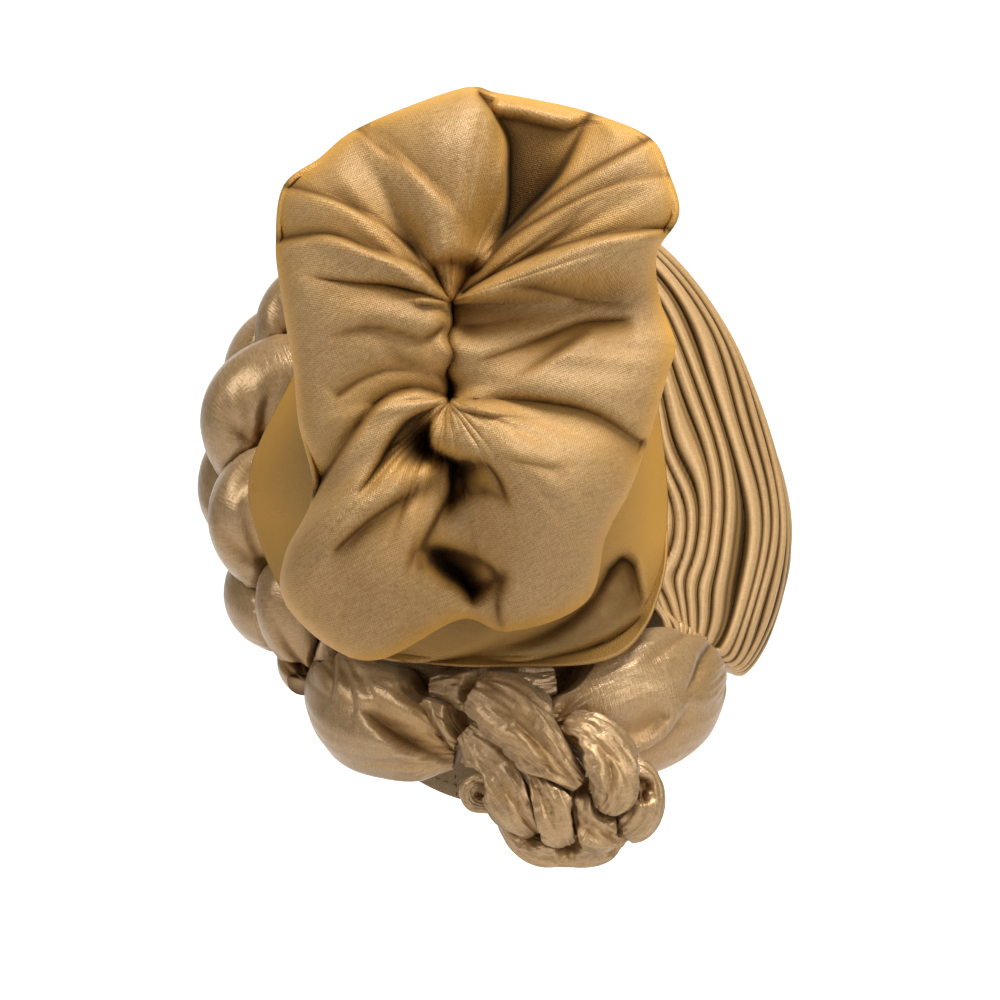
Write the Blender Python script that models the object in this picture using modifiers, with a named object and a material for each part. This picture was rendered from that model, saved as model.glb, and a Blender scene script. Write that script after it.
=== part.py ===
"""Tied gele head tie: a cap, a plain crown wrap, a pleated fan, a plaited braid, nape rolls, a knot and a ruffle.

Frame: metres, +Z up, origin at the centre of the head on the hat line.
+Y is the way the wearer faces and +X is the wearer's right.
"""

import math

import bmesh
import bpy
import numpy as np

MM = 0.001

# Head and the layers on it
HEAD_HALF_BREADTH = 77 * MM
HEAD_HALF_LENGTH = 97 * MM
HEAD_CROWN = 101 * MM
NAPE_DROP = 80 * MM
NAPE_NARROWING = 0.16
NAPE_RISE = -45.0
HEAD_COLUMNS = 32
HEAD_ROWS = 10

CAP_THICKNESS = 1.5 * MM
WRAP_THICKNESS = 2.0 * MM
CLOTH_THICKNESS = 2.0 * MM
GAP = 0.4 * MM
WRAP_OFFSET = CAP_THICKNESS + GAP
TUBE_GAP = 0.8 * MM
STRAND_GAP = 2.1 * MM
CARRIED_OFFSET = WRAP_OFFSET + WRAP_THICKNESS + GAP

# Rims of the cap and the wrap, as rise angles at the nape, the sides and the forehead
CAP_RIM = {"nape": -43.0, "side": -15.0, "forehead": 4.0}
WRAP_RIM = {"nape": -32.0, "side": -15.0, "forehead": 4.0}

# Pleated fan: each section is an arch from a rear foot over its outer point to a front foot
FAN_PLEATS = 14
FAN_PLEAT_HEIGHT = 3.0 * MM
FAN_SECTIONS = 16
FAN_FRONT_COLUMNS = 7
FAN_FULLNESS = 0.62
FAN_COLUMNS = (
    "rear_turn", "rear_rise", "rear_off", "outer_x", "outer_y", "outer_z",
    "front_turn", "front_rise", "front_off",
)
FAN_TABLE = (
    (60, 3, 17, 101, -44, -7, 74, -5, 16),
    (54, 8, 6, 114, -27, -24, 90, -8, 4),
    (48, 17, 0, 130, -8, 0, 108, -2, 0),
    (45, 32, 0.7, 137, 4, 38, 122, 8, 0),
    (44, 46, 8, 128, 10, 82, 134, 17, 0),
    (41, 56, 22, 108, 14, 128, 146, 25, 0),
    (34, 60, 34, 77, 16, 166, 158, 31, 0),
    (12, 61, 40, 40, 16, 188, 170, 36, 0),
    (-25, 62, 38, 6, 14, 191, 182, 42, 0),
    (-52, 66, 24, -17, 10, 178, 198, 50, 0),
    (-76, 66, 8, -31, 6, 144, 216, 58, 0),
    (-88, 62, 1, -35, 2, 108, 238, 62, 1),
)

# Braid: centre line, how far the strands swing along and off the head, and the strand radius
STRAND_TURN = 159 * MM
STRAND_PHASE = 0.315
STRAND_RINGS = 62
STRAND_SIDES = 10
BRAID_COLUMNS = ("x", "y", "z", "swing_along", "swing_off", "radius")
BRAID_TABLE = (
    (-84, -52, -22, 5, 4, 10),
    (-88, -38, -4, 14, 8, 18),
    (-94, -21, 20, 22, 13, 23),
    (-103, -6, 52, 27, 16, 25),
    (-103, 0, 88, 27, 15, 25),
    (-92, 4, 122, 24, 14, 23),
    (-74, 6, 148, 16, 11, 17),
    (-54, 7, 165, 9, 7, 11),
    (-40, 7, 172, 4, 4, 6),
)

# Padded tubes: centre line, half height along the head and half thickness off it
TUBE_COLUMNS = ("x", "y", "z", "half_height", "half_thickness")
TUBE_SIDES = 12
PRESS_STEPS = 150
PRESS_SHARE = 0.985
TUBES = {
    "nape_roll_left": (
        20,
        (
            (-83, -52, -18, 7, 5),
            (-79, -63, -27, 19, 11),
            (-66, -82, -34, 26, 16),
            (-47, -98, -37, 26, 18),
            (-30, -108, -40, 22, 16),
            (-17, -113, -44, 12, 9),
        ),
    ),
    "nape_roll_right": (
        22,
        (
            (98, -62, -18, 8, 7),
            (93, -68, -20, 21, 13),
            (80, -79, -25, 30, 20),
            (60, -94, -29, 33, 22),
            (41, -106, -33, 29, 19),
            (26, -113, -36, 19, 13),
            (15, -116, -37, 9, 7),
        ),
    ),
    "under_band": (
        12,
        (
            (-30, -104, -21, 5, 4),
            (-14, -110, -20, 10, 8),
            (6, -112, -19, 10, 8),
            (24, -109, -17, 7, 5),
        ),
    ),
    "knot_band": (
        14,
        (
            (-9, -120, -20, 10, 8),
            (3, -128, -28, 15, 8),
            (15, -133, -38, 14, 9),
            (25, -134, -49, 10, 8),
            (34, -132, -57, 5, 5),
        ),
    ),
    "knot_upper_loop": (
        14,
        (
            (29, -127, -33, 6, 5),
            (38, -132, -38, 11, 7),
            (46, -135, -48, 13, 8),
            (49, -135, -60, 11, 8),
            (45, -132, -68, 5, 5),
        ),
    ),
    "knot_side_loop": (
        14,
        (
            (51, -122, -54, 6, 5),
            (59, -125, -57, 8, 8),
            (61, -126, -66, 9, 9),
            (58, -126, -75, 9, 8),
            (52, -125, -81, 5, 5),
        ),
    ),
    "knot_leaf_left": (
        14,
        (
            (-14, -118, -36, 7, 5),
            (-5, -121, -45, 13, 7),
            (3, -127, -57, 13, 8),
            (9, -130, -69, 11, 8),
            (15, -127, -80, 5, 4),
        ),
    ),
    "knot_leaf_middle": (
        12,
        (
            (15, -126, -52, 6, 5),
            (20, -131, -61, 10, 9),
            (25, -132, -73, 10, 8),
            (29, -127, -84, 5, 4),
        ),
    ),
    "knot_leaf_right": (
        12,
        (
            (29, -127, -62, 6, 5),
            (36, -131, -70, 11, 9),
            (44, -130, -77, 11, 8),
            (51, -126, -83, 5, 4),
        ),
    ),
    "knot_lower_loop": (
        16,
        (
            (1, -120, -69, 4, 4),
            (7, -122, -78, 7, 8),
            (16, -124, -85, 9, 8),
            (30, -124, -88, 8, 8),
            (42, -123, -87, 7, 7),
            (50, -120, -84, 4, 4),
        ),
    ),
    "knot_curl": (
        12,
        (
            (-1, -121, -60, 3, 3),
            (-7, -123, -58, 4, 4),
            (-13, -122, -62, 4, 4),
            (-11, -121, -68, 4, 4),
            (-4, -121, -70, 3, 3),
        ),
    ),
}

# Back panel: its edge round a middle point, and how its edge turns out as a lip
PANEL_CENTRE = (-16 * MM, 118 * MM)
PANEL_REAR = 121 * MM
PANEL_BULGE = 2.4
PANEL_RINGS = 7
PANEL_SPOKES = 28
PANEL_FINE = 120
PANEL_COLUMNS = ("edge_x", "edge_y", "edge_z", "lip")
PANEL_TABLE = (
    (76, -66, 59, 0),
    (71, -60, 110, 0),
    (68, -60, 150, 0),
    (34, -54, 176, 0),
    (-20, -51, 183, 0),
    (-68, -56, 166, 0),
    (-92, -66, 118, 0),
    (-112, -70, 76, 0),
    (-110, -73, 46, 0),
    (-94, -82, 6, 4),
    (-52, -107, -6, 9),
    (8, -115, -4, 8),
    (50, -107, 2, 11),
    (70, -84, 26, 6),
)

# Ruffle: a row for each fold round the seam, with its rim and how far its middle stands up or sinks
SEAM_TOP = (-20 * MM, 151 * MM)
SEAM_FOOT = (-21 * MM, 109 * MM)
SEAM_REAR = 122.3 * MM
SEAM_HALF_WIDTH = 1.6 * MM
RUFFLE_SPOKES = 60
RUFFLE_RINGS = 10
RUFFLE_BACK_SHARE = 0.5
RUFFLE_BACK_GAP = 0.1 * MM
RUFFLE_BACK_LEAST = 92 * MM
RUFFLE_COLUMNS = ("rim_x", "rim_y", "rim_z", "middle_y")
RUFFLE_TABLE = (
    (65, -148, 171, -168),
    (74, -150, 187, -170),
    (70, -146, 204, -162),
    (62, -140, 219, -160),
    (37, -128, 230, -138),
    (16, -126, 235, -134),
    (-2, -130, 238, -160),
    (-14, -132, 240, -166),
    (-40, -138, 231, -168),
    (-62, -140, 221, -160),
    (-75, -146, 210, -168),
    (-90, -150, 198, -172),
    (-93, -150, 174, -168),
    (-91, -148, 154, -172),
    (-86, -148, 122, -170),
    (-84, -150, 100, -172),
    (-78, -152, 70, -174),
    (-90, -150, 44, -178),
    (-91, -146, 24, -180),
    (-73, -142, 5, -176),
    (-51, -142, -1, -172),
    (-17, -138, 16, -144),
    (4, -142, 11, -148),
    (36, -146, 24, -180),
    (44, -150, 52, -186),
    (54, -152, 72, -182),
    (62, -150, 94, -172),
    (69, -148, 118, -166),
    (73, -146, 133, -160),
    (48, -140, 148, -152),
)

# Cloth colours, as linear red, green and blue, with roughness
MATERIALS = {
    "cap_cloth": ((0.26, 0.17, 0.09), 0.8),
    "pleat_satin": ((0.40, 0.25, 0.11), 0.4),
    "roll_satin": ((0.36, 0.24, 0.13), 0.35),
    "ruffle_taffeta": ((0.44, 0.29, 0.14), 0.45),
}


def clear_scene():
    """Remove every object of the scene."""
    for item in list(bpy.data.objects):
        bpy.data.objects.remove(item, do_unlink=True)


def make_materials():
    """One Principled material for each cloth."""
    made = {}
    for name, (colour, roughness) in MATERIALS.items():
        material = bpy.data.materials.new(name)
        material.use_nodes = True
        shader = material.node_tree.nodes["Principled BSDF"]
        shader.inputs["Base Color"].default_value = (*colour, 1.0)
        shader.inputs["Roughness"].default_value = roughness
        shader.inputs["Metallic"].default_value = 0.0
        made[name] = material
    return made


def spline(rows, count, closed=False):
    """Smooth curve through the rows of a table, sampled evenly from its first row to its last."""
    rows = np.array(rows, dtype=float)
    total = len(rows)
    spans = total if closed else total - 1
    at = np.linspace(0, spans, count, endpoint=not closed)
    low = np.minimum(at.astype(int), spans - 1)
    part = (at - low)[:, None]

    def row(index):
        return rows[index % total] if closed else rows[np.clip(index, 0, total - 1)]

    before, here, after, beyond = row(low - 1), row(low), row(low + 1), row(low + 2)
    straight = (after - before) * part
    square = (2 * before - 5 * here + 4 * after - beyond) * part ** 2
    cube = (3 * here - before - 3 * after + beyond) * part ** 3
    return 0.5 * (2 * here + straight + square + cube)


def columns(names, values):
    """The columns of a sampled table under their names."""
    return {name: values[:, place] for place, name in enumerate(names)}


def narrowing(height):
    """How much of its full breadth the head keeps below the hat line."""
    below = np.clip(-height / NAPE_DROP, 0.0, 1.3)
    return 1 - NAPE_NARROWING * below ** 2


def head_point(turn, rise, off):
    """Point off the head: turn from the nape to the wearer's right and rise from the hat line, in degrees."""
    turn, rise = np.radians(turn), np.asarray(rise, dtype=float)
    above = np.radians(np.clip(rise, 0, 90))
    height = np.where(rise >= 0, (HEAD_CROWN + off) * np.sin(above), NAPE_DROP * -rise / NAPE_RISE)
    ring = np.where(rise >= 0, np.cos(above), narrowing(height))
    across = (HEAD_HALF_BREADTH + off) * ring * np.sin(turn)
    along = -(HEAD_HALF_LENGTH + off) * ring * np.cos(turn)
    return np.stack([across + 0 * height, along + 0 * height, height], axis=-1)


def inside_head(points, off):
    """Whether points lie nearer the head than the given distance off it."""
    x, y, z = points[..., 0], points[..., 1], points[..., 2]
    keep = narrowing(z)
    level = (x / (HEAD_HALF_BREADTH + off) / keep) ** 2 + (y / (HEAD_HALF_LENGTH + off) / keep) ** 2
    level = level + (np.clip(z, 0, None) / (HEAD_CROWN + off)) ** 2
    return (level < 1) & (z > -NAPE_DROP)


def add_object(name, points, faces, material, smooth=True):
    """Object from a lofted grid of points."""
    mesh = bpy.data.meshes.new(name)
    mesh.from_pydata([tuple(point) for point in points], [], faces)
    mesh.materials.append(material)
    item = bpy.data.objects.new(name, mesh)
    PARTS.objects.link(item)
    work = bmesh.new()
    work.from_mesh(mesh)
    bmesh.ops.remove_doubles(work, verts=work.verts, dist=1e-6)
    bmesh.ops.recalc_face_normals(work, faces=work.faces)
    work.to_mesh(mesh)
    work.free()
    if smooth:
        mesh.shade_smooth()
    return item


def grid_faces(rows, across, around=False):
    """Quads of a grid of rows, whose columns may close round."""
    faces = []
    for row in range(rows - 1):
        for column in range(across if around else across - 1):
            after = (column + 1) % across
            corner = row * across
            faces.append((corner + column, corner + after, corner + across + after, corner + across + column))
    return faces


def sheet(name, grid, material, thickness, outward, around=False):
    """Cloth from a grid of points, thickened away from the given side."""
    rows, across = grid.shape[:2]
    item = add_object(name, grid.reshape(-1, 3), grid_faces(rows, across, around), material)
    mesh = item.data
    facing = 0.0
    for face in mesh.polygons:
        facing += face.area * face.normal.dot(outward(face.center))
    if facing < 0:
        mesh.flip_normals()
    solid = item.modifiers.new("Thickness", "SOLIDIFY")
    solid.thickness = thickness
    solid.offset = 1.0
    solid.use_even_offset = False
    return item


def from_centre(point):
    """Direction away from the middle of the head."""
    return point.normalized()


def make_cap(materials):
    """Stitched cap, open below, long at the nape and short at the forehead."""
    grid = dome(CAP_RIM, 0.0)
    sheet("inner_cap", grid, materials["cap_cloth"], CAP_THICKNESS, from_centre, True)


def make_wrap(materials):
    """Plain cloth over the cap."""
    grid = dome(WRAP_RIM, WRAP_OFFSET)
    sheet("crown_wrap", grid, materials["ruffle_taffeta"], WRAP_THICKNESS, from_centre, True)


def rim_rise(rim, turn):
    """Rise of a rim round the head."""
    nape = (1 + np.cos(np.radians(turn))) / 2
    side = np.sin(np.radians(turn)) ** 2
    edge = rim["nape"] * nape + rim["forehead"] * (1 - nape)
    return edge + (rim["side"] - (rim["nape"] + rim["forehead"]) / 2) * side


def dome(rim, off):
    """Grid over the head from its rim to the crown, on the same rows as the cap."""
    turn = np.arange(HEAD_COLUMNS) * 360 / HEAD_COLUMNS
    lowest = rim_rise(CAP_RIM, turn)
    rows = [head_point(turn, rim_rise(rim, turn), off)]
    for share in np.linspace(0, 1, HEAD_ROWS)[2:]:
        rows.append(head_point(turn, lowest + (90 - lowest) * share, off))
    return np.array(rows)


def make_fan(materials):
    """Pleated crescent from the right nape gather over the top."""
    table = columns(FAN_COLUMNS, spline(FAN_TABLE, FAN_SECTIONS))
    rear = head_point(table["rear_turn"], table["rear_rise"], CARRIED_OFFSET + table["rear_off"] * MM)
    front = head_point(table["front_turn"], table["front_rise"], CARRIED_OFFSET + table["front_off"] * MM)
    outer = np.stack([table["outer_x"], table["outer_y"], table["outer_z"]], axis=-1) * MM
    pleat_columns = 2 * FAN_PLEATS + 1
    rows = []
    for foot, top, end in zip(rear, outer, front):
        middle = (foot + end) / 2
        reach = (top - middle) * FAN_FULLNESS
        spread = (end - foot) / 2 * FAN_FULLNESS
        size = np.linalg.norm(end - foot) / np.linalg.norm(rear - front, axis=1).max()
        ridge = FAN_PLEAT_HEIGHT * size
        row = []
        for column in range(pleat_columns):
            share = column / (pleat_columns - 1)
            point, away = arch(foot, foot + reach * 0.5, top - spread, top, share)
            lift = ridge if column % 2 else 0.0
            row.append(point + away * lift)
        for column in range(1, FAN_FRONT_COLUMNS + 1):
            share = column / FAN_FRONT_COLUMNS
            point, away = arch(top, top + spread, end + reach, end, share)
            row.append(point)
        rows.append(row)
    sheet("pleated_fan", np.array(rows), materials["pleat_satin"], CLOTH_THICKNESS, from_centre)


def arch(first, second, third, last, share):
    """Point on a Bezier arch and its direction away from the head."""
    rest = 1 - share
    point = first * rest ** 3 + 3 * second * rest ** 2 * share + 3 * third * rest * share ** 2 + last * share ** 3
    along = 3 * (second - first) * rest ** 2 + 6 * (third - second) * rest * share + 3 * (last - third) * share ** 2
    along = along / (np.linalg.norm(along) + 1e-12)
    away = point / np.linalg.norm(point)
    away = away - along * away.dot(along)
    return point, away / (np.linalg.norm(away) + 1e-12)


def braid_lines():
    """Centre lines and sizes of the three strands."""
    fine = spline(BRAID_TABLE, STRAND_RINGS)
    table = columns(BRAID_COLUMNS, fine)
    middle = fine[:, :3] * MM
    along, off = tube_frame(middle)
    length = np.concatenate([[0], np.cumsum(np.linalg.norm(np.diff(middle, axis=0), axis=1))])
    lines = {}
    for order, letter in enumerate("abc"):
        angle = 2 * math.pi * (length / STRAND_TURN + STRAND_PHASE + order / 3)
        swing = along * (table["swing_along"] * MM * np.sin(angle))[:, None]
        lift = off * (table["swing_off"] * MM * np.sin(2 * angle))[:, None]
        radius = table["radius"] * MM
        lines["braid_strand_" + letter] = (middle + swing + lift, radius, radius, STRAND_SIDES)
    return lines


def tube_lines():
    """Centre lines and sizes of the rolls and the knot."""
    lines = {}
    for name, (rings, rows) in TUBES.items():
        fine = spline(rows, rings)
        table = columns(TUBE_COLUMNS, fine)
        lines[name] = (fine[:, :3] * MM, table["half_height"] * MM, table["half_thickness"] * MM, TUBE_SIDES)
    return lines


def tube_frame(line):
    """Directions across a centre line: one along the head's surface and one off it."""
    forward = np.gradient(line, axis=0)
    forward /= np.linalg.norm(forward, axis=1)[:, None]
    off = line / np.array([HEAD_HALF_BREADTH, HEAD_HALF_LENGTH, HEAD_CROWN]) ** 2
    off[:, 2] = np.clip(off[:, 2], 0, None)
    off -= forward * np.sum(off * forward, axis=1)[:, None]
    off /= np.linalg.norm(off, axis=1)[:, None]
    return np.cross(forward, off), off


def make_tube(name, lines, material):
    """Padded tube, flattened where it presses on the head or on another tube."""
    line, height, thickness, sides = lines[name]
    along, off = tube_frame(line)
    angle = np.arange(sides) * 2 * math.pi / sides
    spoke = along[:, None] * (height[:, None] * np.cos(angle))[..., None]
    spoke = spoke + off[:, None] * (thickness[:, None] * np.sin(angle))[..., None]
    reach = np.linalg.norm(spoke, axis=2)
    ray = spoke / reach[..., None]
    size = np.sqrt(height * thickness)
    for other, (other_line, other_height, other_thickness, _) in lines.items():
        if other == name:
            continue
        other_size = np.sqrt(other_height * other_thickness)
        step = other_line[None] - line[:, None]
        apart = np.linalg.norm(step, axis=2)
        share = size[:, None] / (size[:, None] + other_size[None])
        both_strands = name.startswith("braid") and other.startswith("braid")
        limit = apart * share - (STRAND_GAP if both_strands else TUBE_GAP) / 2
        facing = np.einsum("isc,ijc->isj", ray, step / apart[..., None])
        allowed = np.where(facing > 0.05, limit[:, None] / np.clip(facing, 0.05, None), np.inf)
        reach = np.minimum(reach, np.clip(allowed.min(axis=2), 0.5 * MM, None))
    for _ in range(PRESS_STEPS):
        point = line[:, None] + ray * reach[..., None]
        reach = np.where(inside_head(point, CARRIED_OFFSET), reach * PRESS_SHARE, reach)
    point = line[:, None] + ray * reach[..., None]
    rings = len(line)
    faces = grid_faces(rings, sides, True)
    points = list(point.reshape(-1, 3)) + [line[0], line[-1]]
    for side in range(sides):
        after = (side + 1) % sides
        faces.append((rings * sides, after, side))
        last = (rings - 1) * sides
        faces.append((rings * sides + 1, last + side, last + after))
    return add_object(name, points, faces, material)


def panel_grid(spokes, shares):
    """Rings of the panel from its middle to its edge, and the edge's lip."""
    table = columns(PANEL_COLUMNS, spline(PANEL_TABLE, spokes, closed=True))
    edge = np.stack([table["edge_x"], table["edge_y"], table["edge_z"]], axis=-1) * MM
    middle = np.array([PANEL_CENTRE[0], -PANEL_REAR, PANEL_CENTRE[1]])
    rows = []
    for share in shares:
        ring = middle + (edge - middle) * share
        bulge = 1 - share ** PANEL_BULGE
        ring[:, 1] = edge[:, 1] + (middle[1] - edge[:, 1]) * bulge
        rows.append(ring)
    outward = (edge - middle) * np.array([1, 0, 1])
    outward /= np.linalg.norm(outward, axis=1)[:, None]
    return rows, edge, outward, table["lip"][:, None] * MM


def make_panel(materials):
    """Smooth wall behind the ruffle, bulging to the rear, with its foot turned out."""
    rows, edge, outward, lip = panel_grid(PANEL_SPOKES, np.linspace(0, 1, PANEL_RINGS))
    rows.append(edge + outward * lip * 0.5 + np.array([0, -1, 0]) * (lip * 0.8 + MM))
    sheet("back_panel", np.array(rows), materials["ruffle_taffeta"], CLOTH_THICKNESS, to_the_front, True)


def panel_rear_at(points):
    """How far back the panel reaches behind each point, or its edge where it doesn't."""
    rows = panel_grid(PANEL_FINE, np.linspace(0, 1, PANEL_FINE))[0]
    fine = np.array(rows).reshape(-1, 3)
    found = []
    for point in points:
        apart = (fine[:, 0] - point[0]) ** 2 + (fine[:, 2] - point[2]) ** 2
        found.append(fine[apart.argmin(), 1])
    return np.array(found)


def to_the_front(_):
    """Direction that the wearer faces."""
    return (0.0, 1.0, 0.0)


def make_ruffle(materials):
    """Gathered ruffle: each fold rises from the seam, rolls over its rim and returns behind to the panel."""
    table = columns(RUFFLE_COLUMNS, spline(RUFFLE_TABLE, RUFFLE_SPOKES, closed=True))
    rim = np.stack([table["rim_x"], table["rim_y"], table["rim_z"]], axis=-1) * MM
    top = np.array([SEAM_TOP[0], -SEAM_REAR, SEAM_TOP[1]])
    foot = np.array([SEAM_FOOT[0], -SEAM_REAR, SEAM_FOOT[1]])
    seam = top - foot
    share = np.clip(((rim - foot) @ seam) / seam.dot(seam), 0, 1)
    root = foot + share[:, None] * seam
    away = (rim - root) * np.array([1, 0, 1])
    away /= np.linalg.norm(away, axis=1)[:, None]
    root = root + away * SEAM_HALF_WIDTH
    middle = root * 0.5 + rim * 0.5
    middle[:, 1] = table["middle_y"] * MM
    rise = root * 0.85 + middle * 0.15
    rise[:, 1] = root[:, 1] * 0.55 + middle[:, 1] * 0.45
    shoulder = root * 0.2 + rim * 0.8
    shoulder[:, 1] = middle[:, 1] * 0.75 + rim[:, 1] * 0.25
    back = root + (rim - root) * RUFFLE_BACK_SHARE
    reach = np.minimum(panel_rear_at(back), -RUFFLE_BACK_LEAST)
    back[:, 1] = reach - RUFFLE_BACK_GAP - CLOTH_THICKNESS
    behind = root * 0.2 + rim * 0.8
    behind[:, 1] = rim[:, 1] * 0.4 + back[:, 1] * 0.6
    keys = np.array([root, rise, middle, shoulder, rim, behind, back])
    spokes = []
    for place in range(RUFFLE_SPOKES):
        spokes.append(spline(keys[:, place], RUFFLE_RINGS))
    grid = np.array(spokes).transpose(1, 0, 2)
    sheet("ruffle", grid, materials["ruffle_taffeta"], CLOTH_THICKNESS, to_the_front, True)


def build():
    """Build every piece."""
    materials = make_materials()
    make_cap(materials)
    make_wrap(materials)
    make_fan(materials)
    lines = {**braid_lines(), **tube_lines()}
    for name in lines:
        make_tube(name, lines, materials["roll_satin"])
    make_panel(materials)
    make_ruffle(materials)


clear_scene()
PARTS = bpy.data.collections.new("tied_gele_head_tie")
bpy.context.scene.collection.children.link(PARTS)
build()
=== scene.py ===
import math

import bmesh
import bpy
import numpy as np
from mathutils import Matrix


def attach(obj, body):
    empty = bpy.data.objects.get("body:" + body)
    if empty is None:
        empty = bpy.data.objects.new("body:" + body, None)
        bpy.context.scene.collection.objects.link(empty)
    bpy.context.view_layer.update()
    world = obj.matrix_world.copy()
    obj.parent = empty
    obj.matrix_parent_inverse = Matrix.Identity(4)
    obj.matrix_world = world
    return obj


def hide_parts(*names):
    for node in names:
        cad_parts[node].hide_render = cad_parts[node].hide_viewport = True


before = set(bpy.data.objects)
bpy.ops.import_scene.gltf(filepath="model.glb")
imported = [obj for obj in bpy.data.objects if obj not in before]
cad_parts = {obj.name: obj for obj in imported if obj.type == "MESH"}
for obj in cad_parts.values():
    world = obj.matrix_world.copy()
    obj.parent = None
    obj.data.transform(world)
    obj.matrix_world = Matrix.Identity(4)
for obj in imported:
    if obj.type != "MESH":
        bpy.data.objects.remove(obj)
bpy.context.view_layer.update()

MM = 0.001

# View and light
# The tie is seen from behind and slightly above, upright as it is worn.
# A pale sweep stands well behind and below it, so that no shadow of the floor reaches the cloth.
VIEW_TARGET = (0.0, 0.0, 0.054)
VIEW_DISTANCE = 1.25
VIEW_ELEVATION = math.radians(5)
VIEW_LENS = 93.75
VIEW_SENSOR = 36.0
QUARTER_TURN = math.radians(90)
FLOOR_HEIGHT = -0.34
FLOOR_REACH = 6.0
SWEEP_DISTANCE = 2.6
SWEEP_RADIUS = 1.2
SWEEP_STEPS = 16
SWEEP_COLOUR = (0.93, 0.93, 0.93, 1)
SWEEP_ROUGHNESS = 0.9
SWEEP_MIDDLE = (0.0, 3.6, 0.2)
# Each soft box has its name, place, width, power and the point that it is turned to.
LIGHTS = (
    ("left_box", (-1.3, -0.9, 0.7), 0.7, 10.5, VIEW_TARGET),
    ("right_box", (1.1, -1.1, 0.4), 0.7, 9.5, VIEW_TARGET),
    ("top_box", (0.3, -0.5, 1.35), 0.6, 29, VIEW_TARGET),
    ("sweep_light", (0.0, 1.2, 1.6), 2.0, 80, SWEEP_MIDDLE),
)
WORLD_STRENGTH = 0.10


def added(name, data):
    """An object with this data, put in the scene."""
    item = bpy.data.objects.new(name, data)
    bpy.context.scene.collection.objects.link(item)
    return item


def finish(name):
    """A new material, its node tree and its shader."""
    material = bpy.data.materials.new(name)
    material.use_nodes = True
    return material, material.node_tree, material.node_tree.nodes["Principled BSDF"]


camera = added("view", bpy.data.cameras.new("view"))
camera.data.lens = VIEW_LENS
camera.data.sensor_width = VIEW_SENSOR
camera.location = (
    VIEW_TARGET[0],
    VIEW_TARGET[1] - VIEW_DISTANCE * math.cos(VIEW_ELEVATION),
    VIEW_TARGET[2] + VIEW_DISTANCE * math.sin(VIEW_ELEVATION),
)
camera.rotation_euler = (QUARTER_TURN - VIEW_ELEVATION, 0, 0)
bpy.context.scene.camera = camera
bpy.context.scene.view_settings.view_transform = "Standard"

profile = [(-FLOOR_REACH, FLOOR_HEIGHT), (SWEEP_DISTANCE, FLOOR_HEIGHT)]
for step in range(1, SWEEP_STEPS + 1):
    turn = QUARTER_TURN * step / SWEEP_STEPS
    profile.append((
        SWEEP_DISTANCE + SWEEP_RADIUS * math.sin(turn),
        FLOOR_HEIGHT + SWEEP_RADIUS * (1 - math.cos(turn)),
    ))
profile.append((SWEEP_DISTANCE + SWEEP_RADIUS, FLOOR_REACH))
sweep_points = [(side * FLOOR_REACH, y, z) for y, z in profile for side in (-1, 1)]
sweep_faces = [(2 * i, 2 * i + 1, 2 * i + 3, 2 * i + 2) for i in range(len(profile) - 1)]
sweep_mesh = bpy.data.meshes.new("sweep")
sweep_mesh.from_pydata(sweep_points, [], sweep_faces)
sweep_mesh.shade_smooth()
sweep_paint, _, sweep_shader = finish("pale_sweep")
sweep_shader.inputs["Base Color"].default_value = SWEEP_COLOUR
sweep_shader.inputs["Roughness"].default_value = SWEEP_ROUGHNESS
sweep_mesh.materials.append(sweep_paint)
added("sweep", sweep_mesh)

for name, place, width, power, aim in LIGHTS:
    lamp = bpy.data.lights.new(name, "AREA")
    lamp.size = width
    lamp.energy = power
    box = added(name, lamp)
    box.location = place
    away = np.array(place) - np.array(aim)
    box.rotation_euler = (math.atan2(math.hypot(away[0], away[1]), away[2]), 0, math.atan2(away[0], -away[1]))

world = bpy.context.scene.world or bpy.data.worlds.new("studio")
bpy.context.scene.world = world
world.use_nodes = True
world.node_tree.nodes["Background"].inputs["Color"].default_value = (1.0, 1.0, 1.0, 1)
world.node_tree.nodes["Background"].inputs["Strength"].default_value = WORLD_STRENGTH

# Inner cap
# A plain stitched cap of beige cotton grips the head and carries the rest of the tie.
# It shows only at the nape, below the rolls, where a dashed seam closes it up the middle.
HEAD_HALF_BREADTH = 77 * MM
HEAD_HALF_LENGTH = 97 * MM
HEAD_CROWN = 101 * MM
NAPE_DROP = 80 * MM
NAPE_NARROWING = 0.16
CAP_CLOTH = 1.5 * MM
CAP_RIM = {"nape": -43.0, "side": -15.0, "forehead": 4.0}
CAP_TURNS = 120
CAP_RISES = 40
HEAD_LIMIT = 1.3
DROP_RISE = 45
MERGE_REACH = 1e-6
WAVE_LENGTHS = (0.6, 1.6)
# What every cloth of the tie shares: the length of its threads and slubs, the spread of its tones,
# and how its places of painted shade, marked on the mesh, turn dark, dull and metallic.
THREAD_LENGTH = 5
SLUB_LENGTH = 14
SLUB_WIDTH = 1.5
THREAD_TONE = 0.7
SLUB_TONE = 0.7
DRIFT_TONE = 0.5
DRIFT_SCALE = 14.0
TONE_RANGE = (0.95, 1.65)
DARK_STEPS = ((0.0, 0.55, 1.0), (0.5, 1.0, 0.1))
DARK_ROUGHNESS = 0.4
DARK_METAL = 0.9
METAL_LIMIT = 0.95
SLUB_ROUGHNESS = 0.08
SHEEN_ROUGHNESS = 0.35


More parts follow.
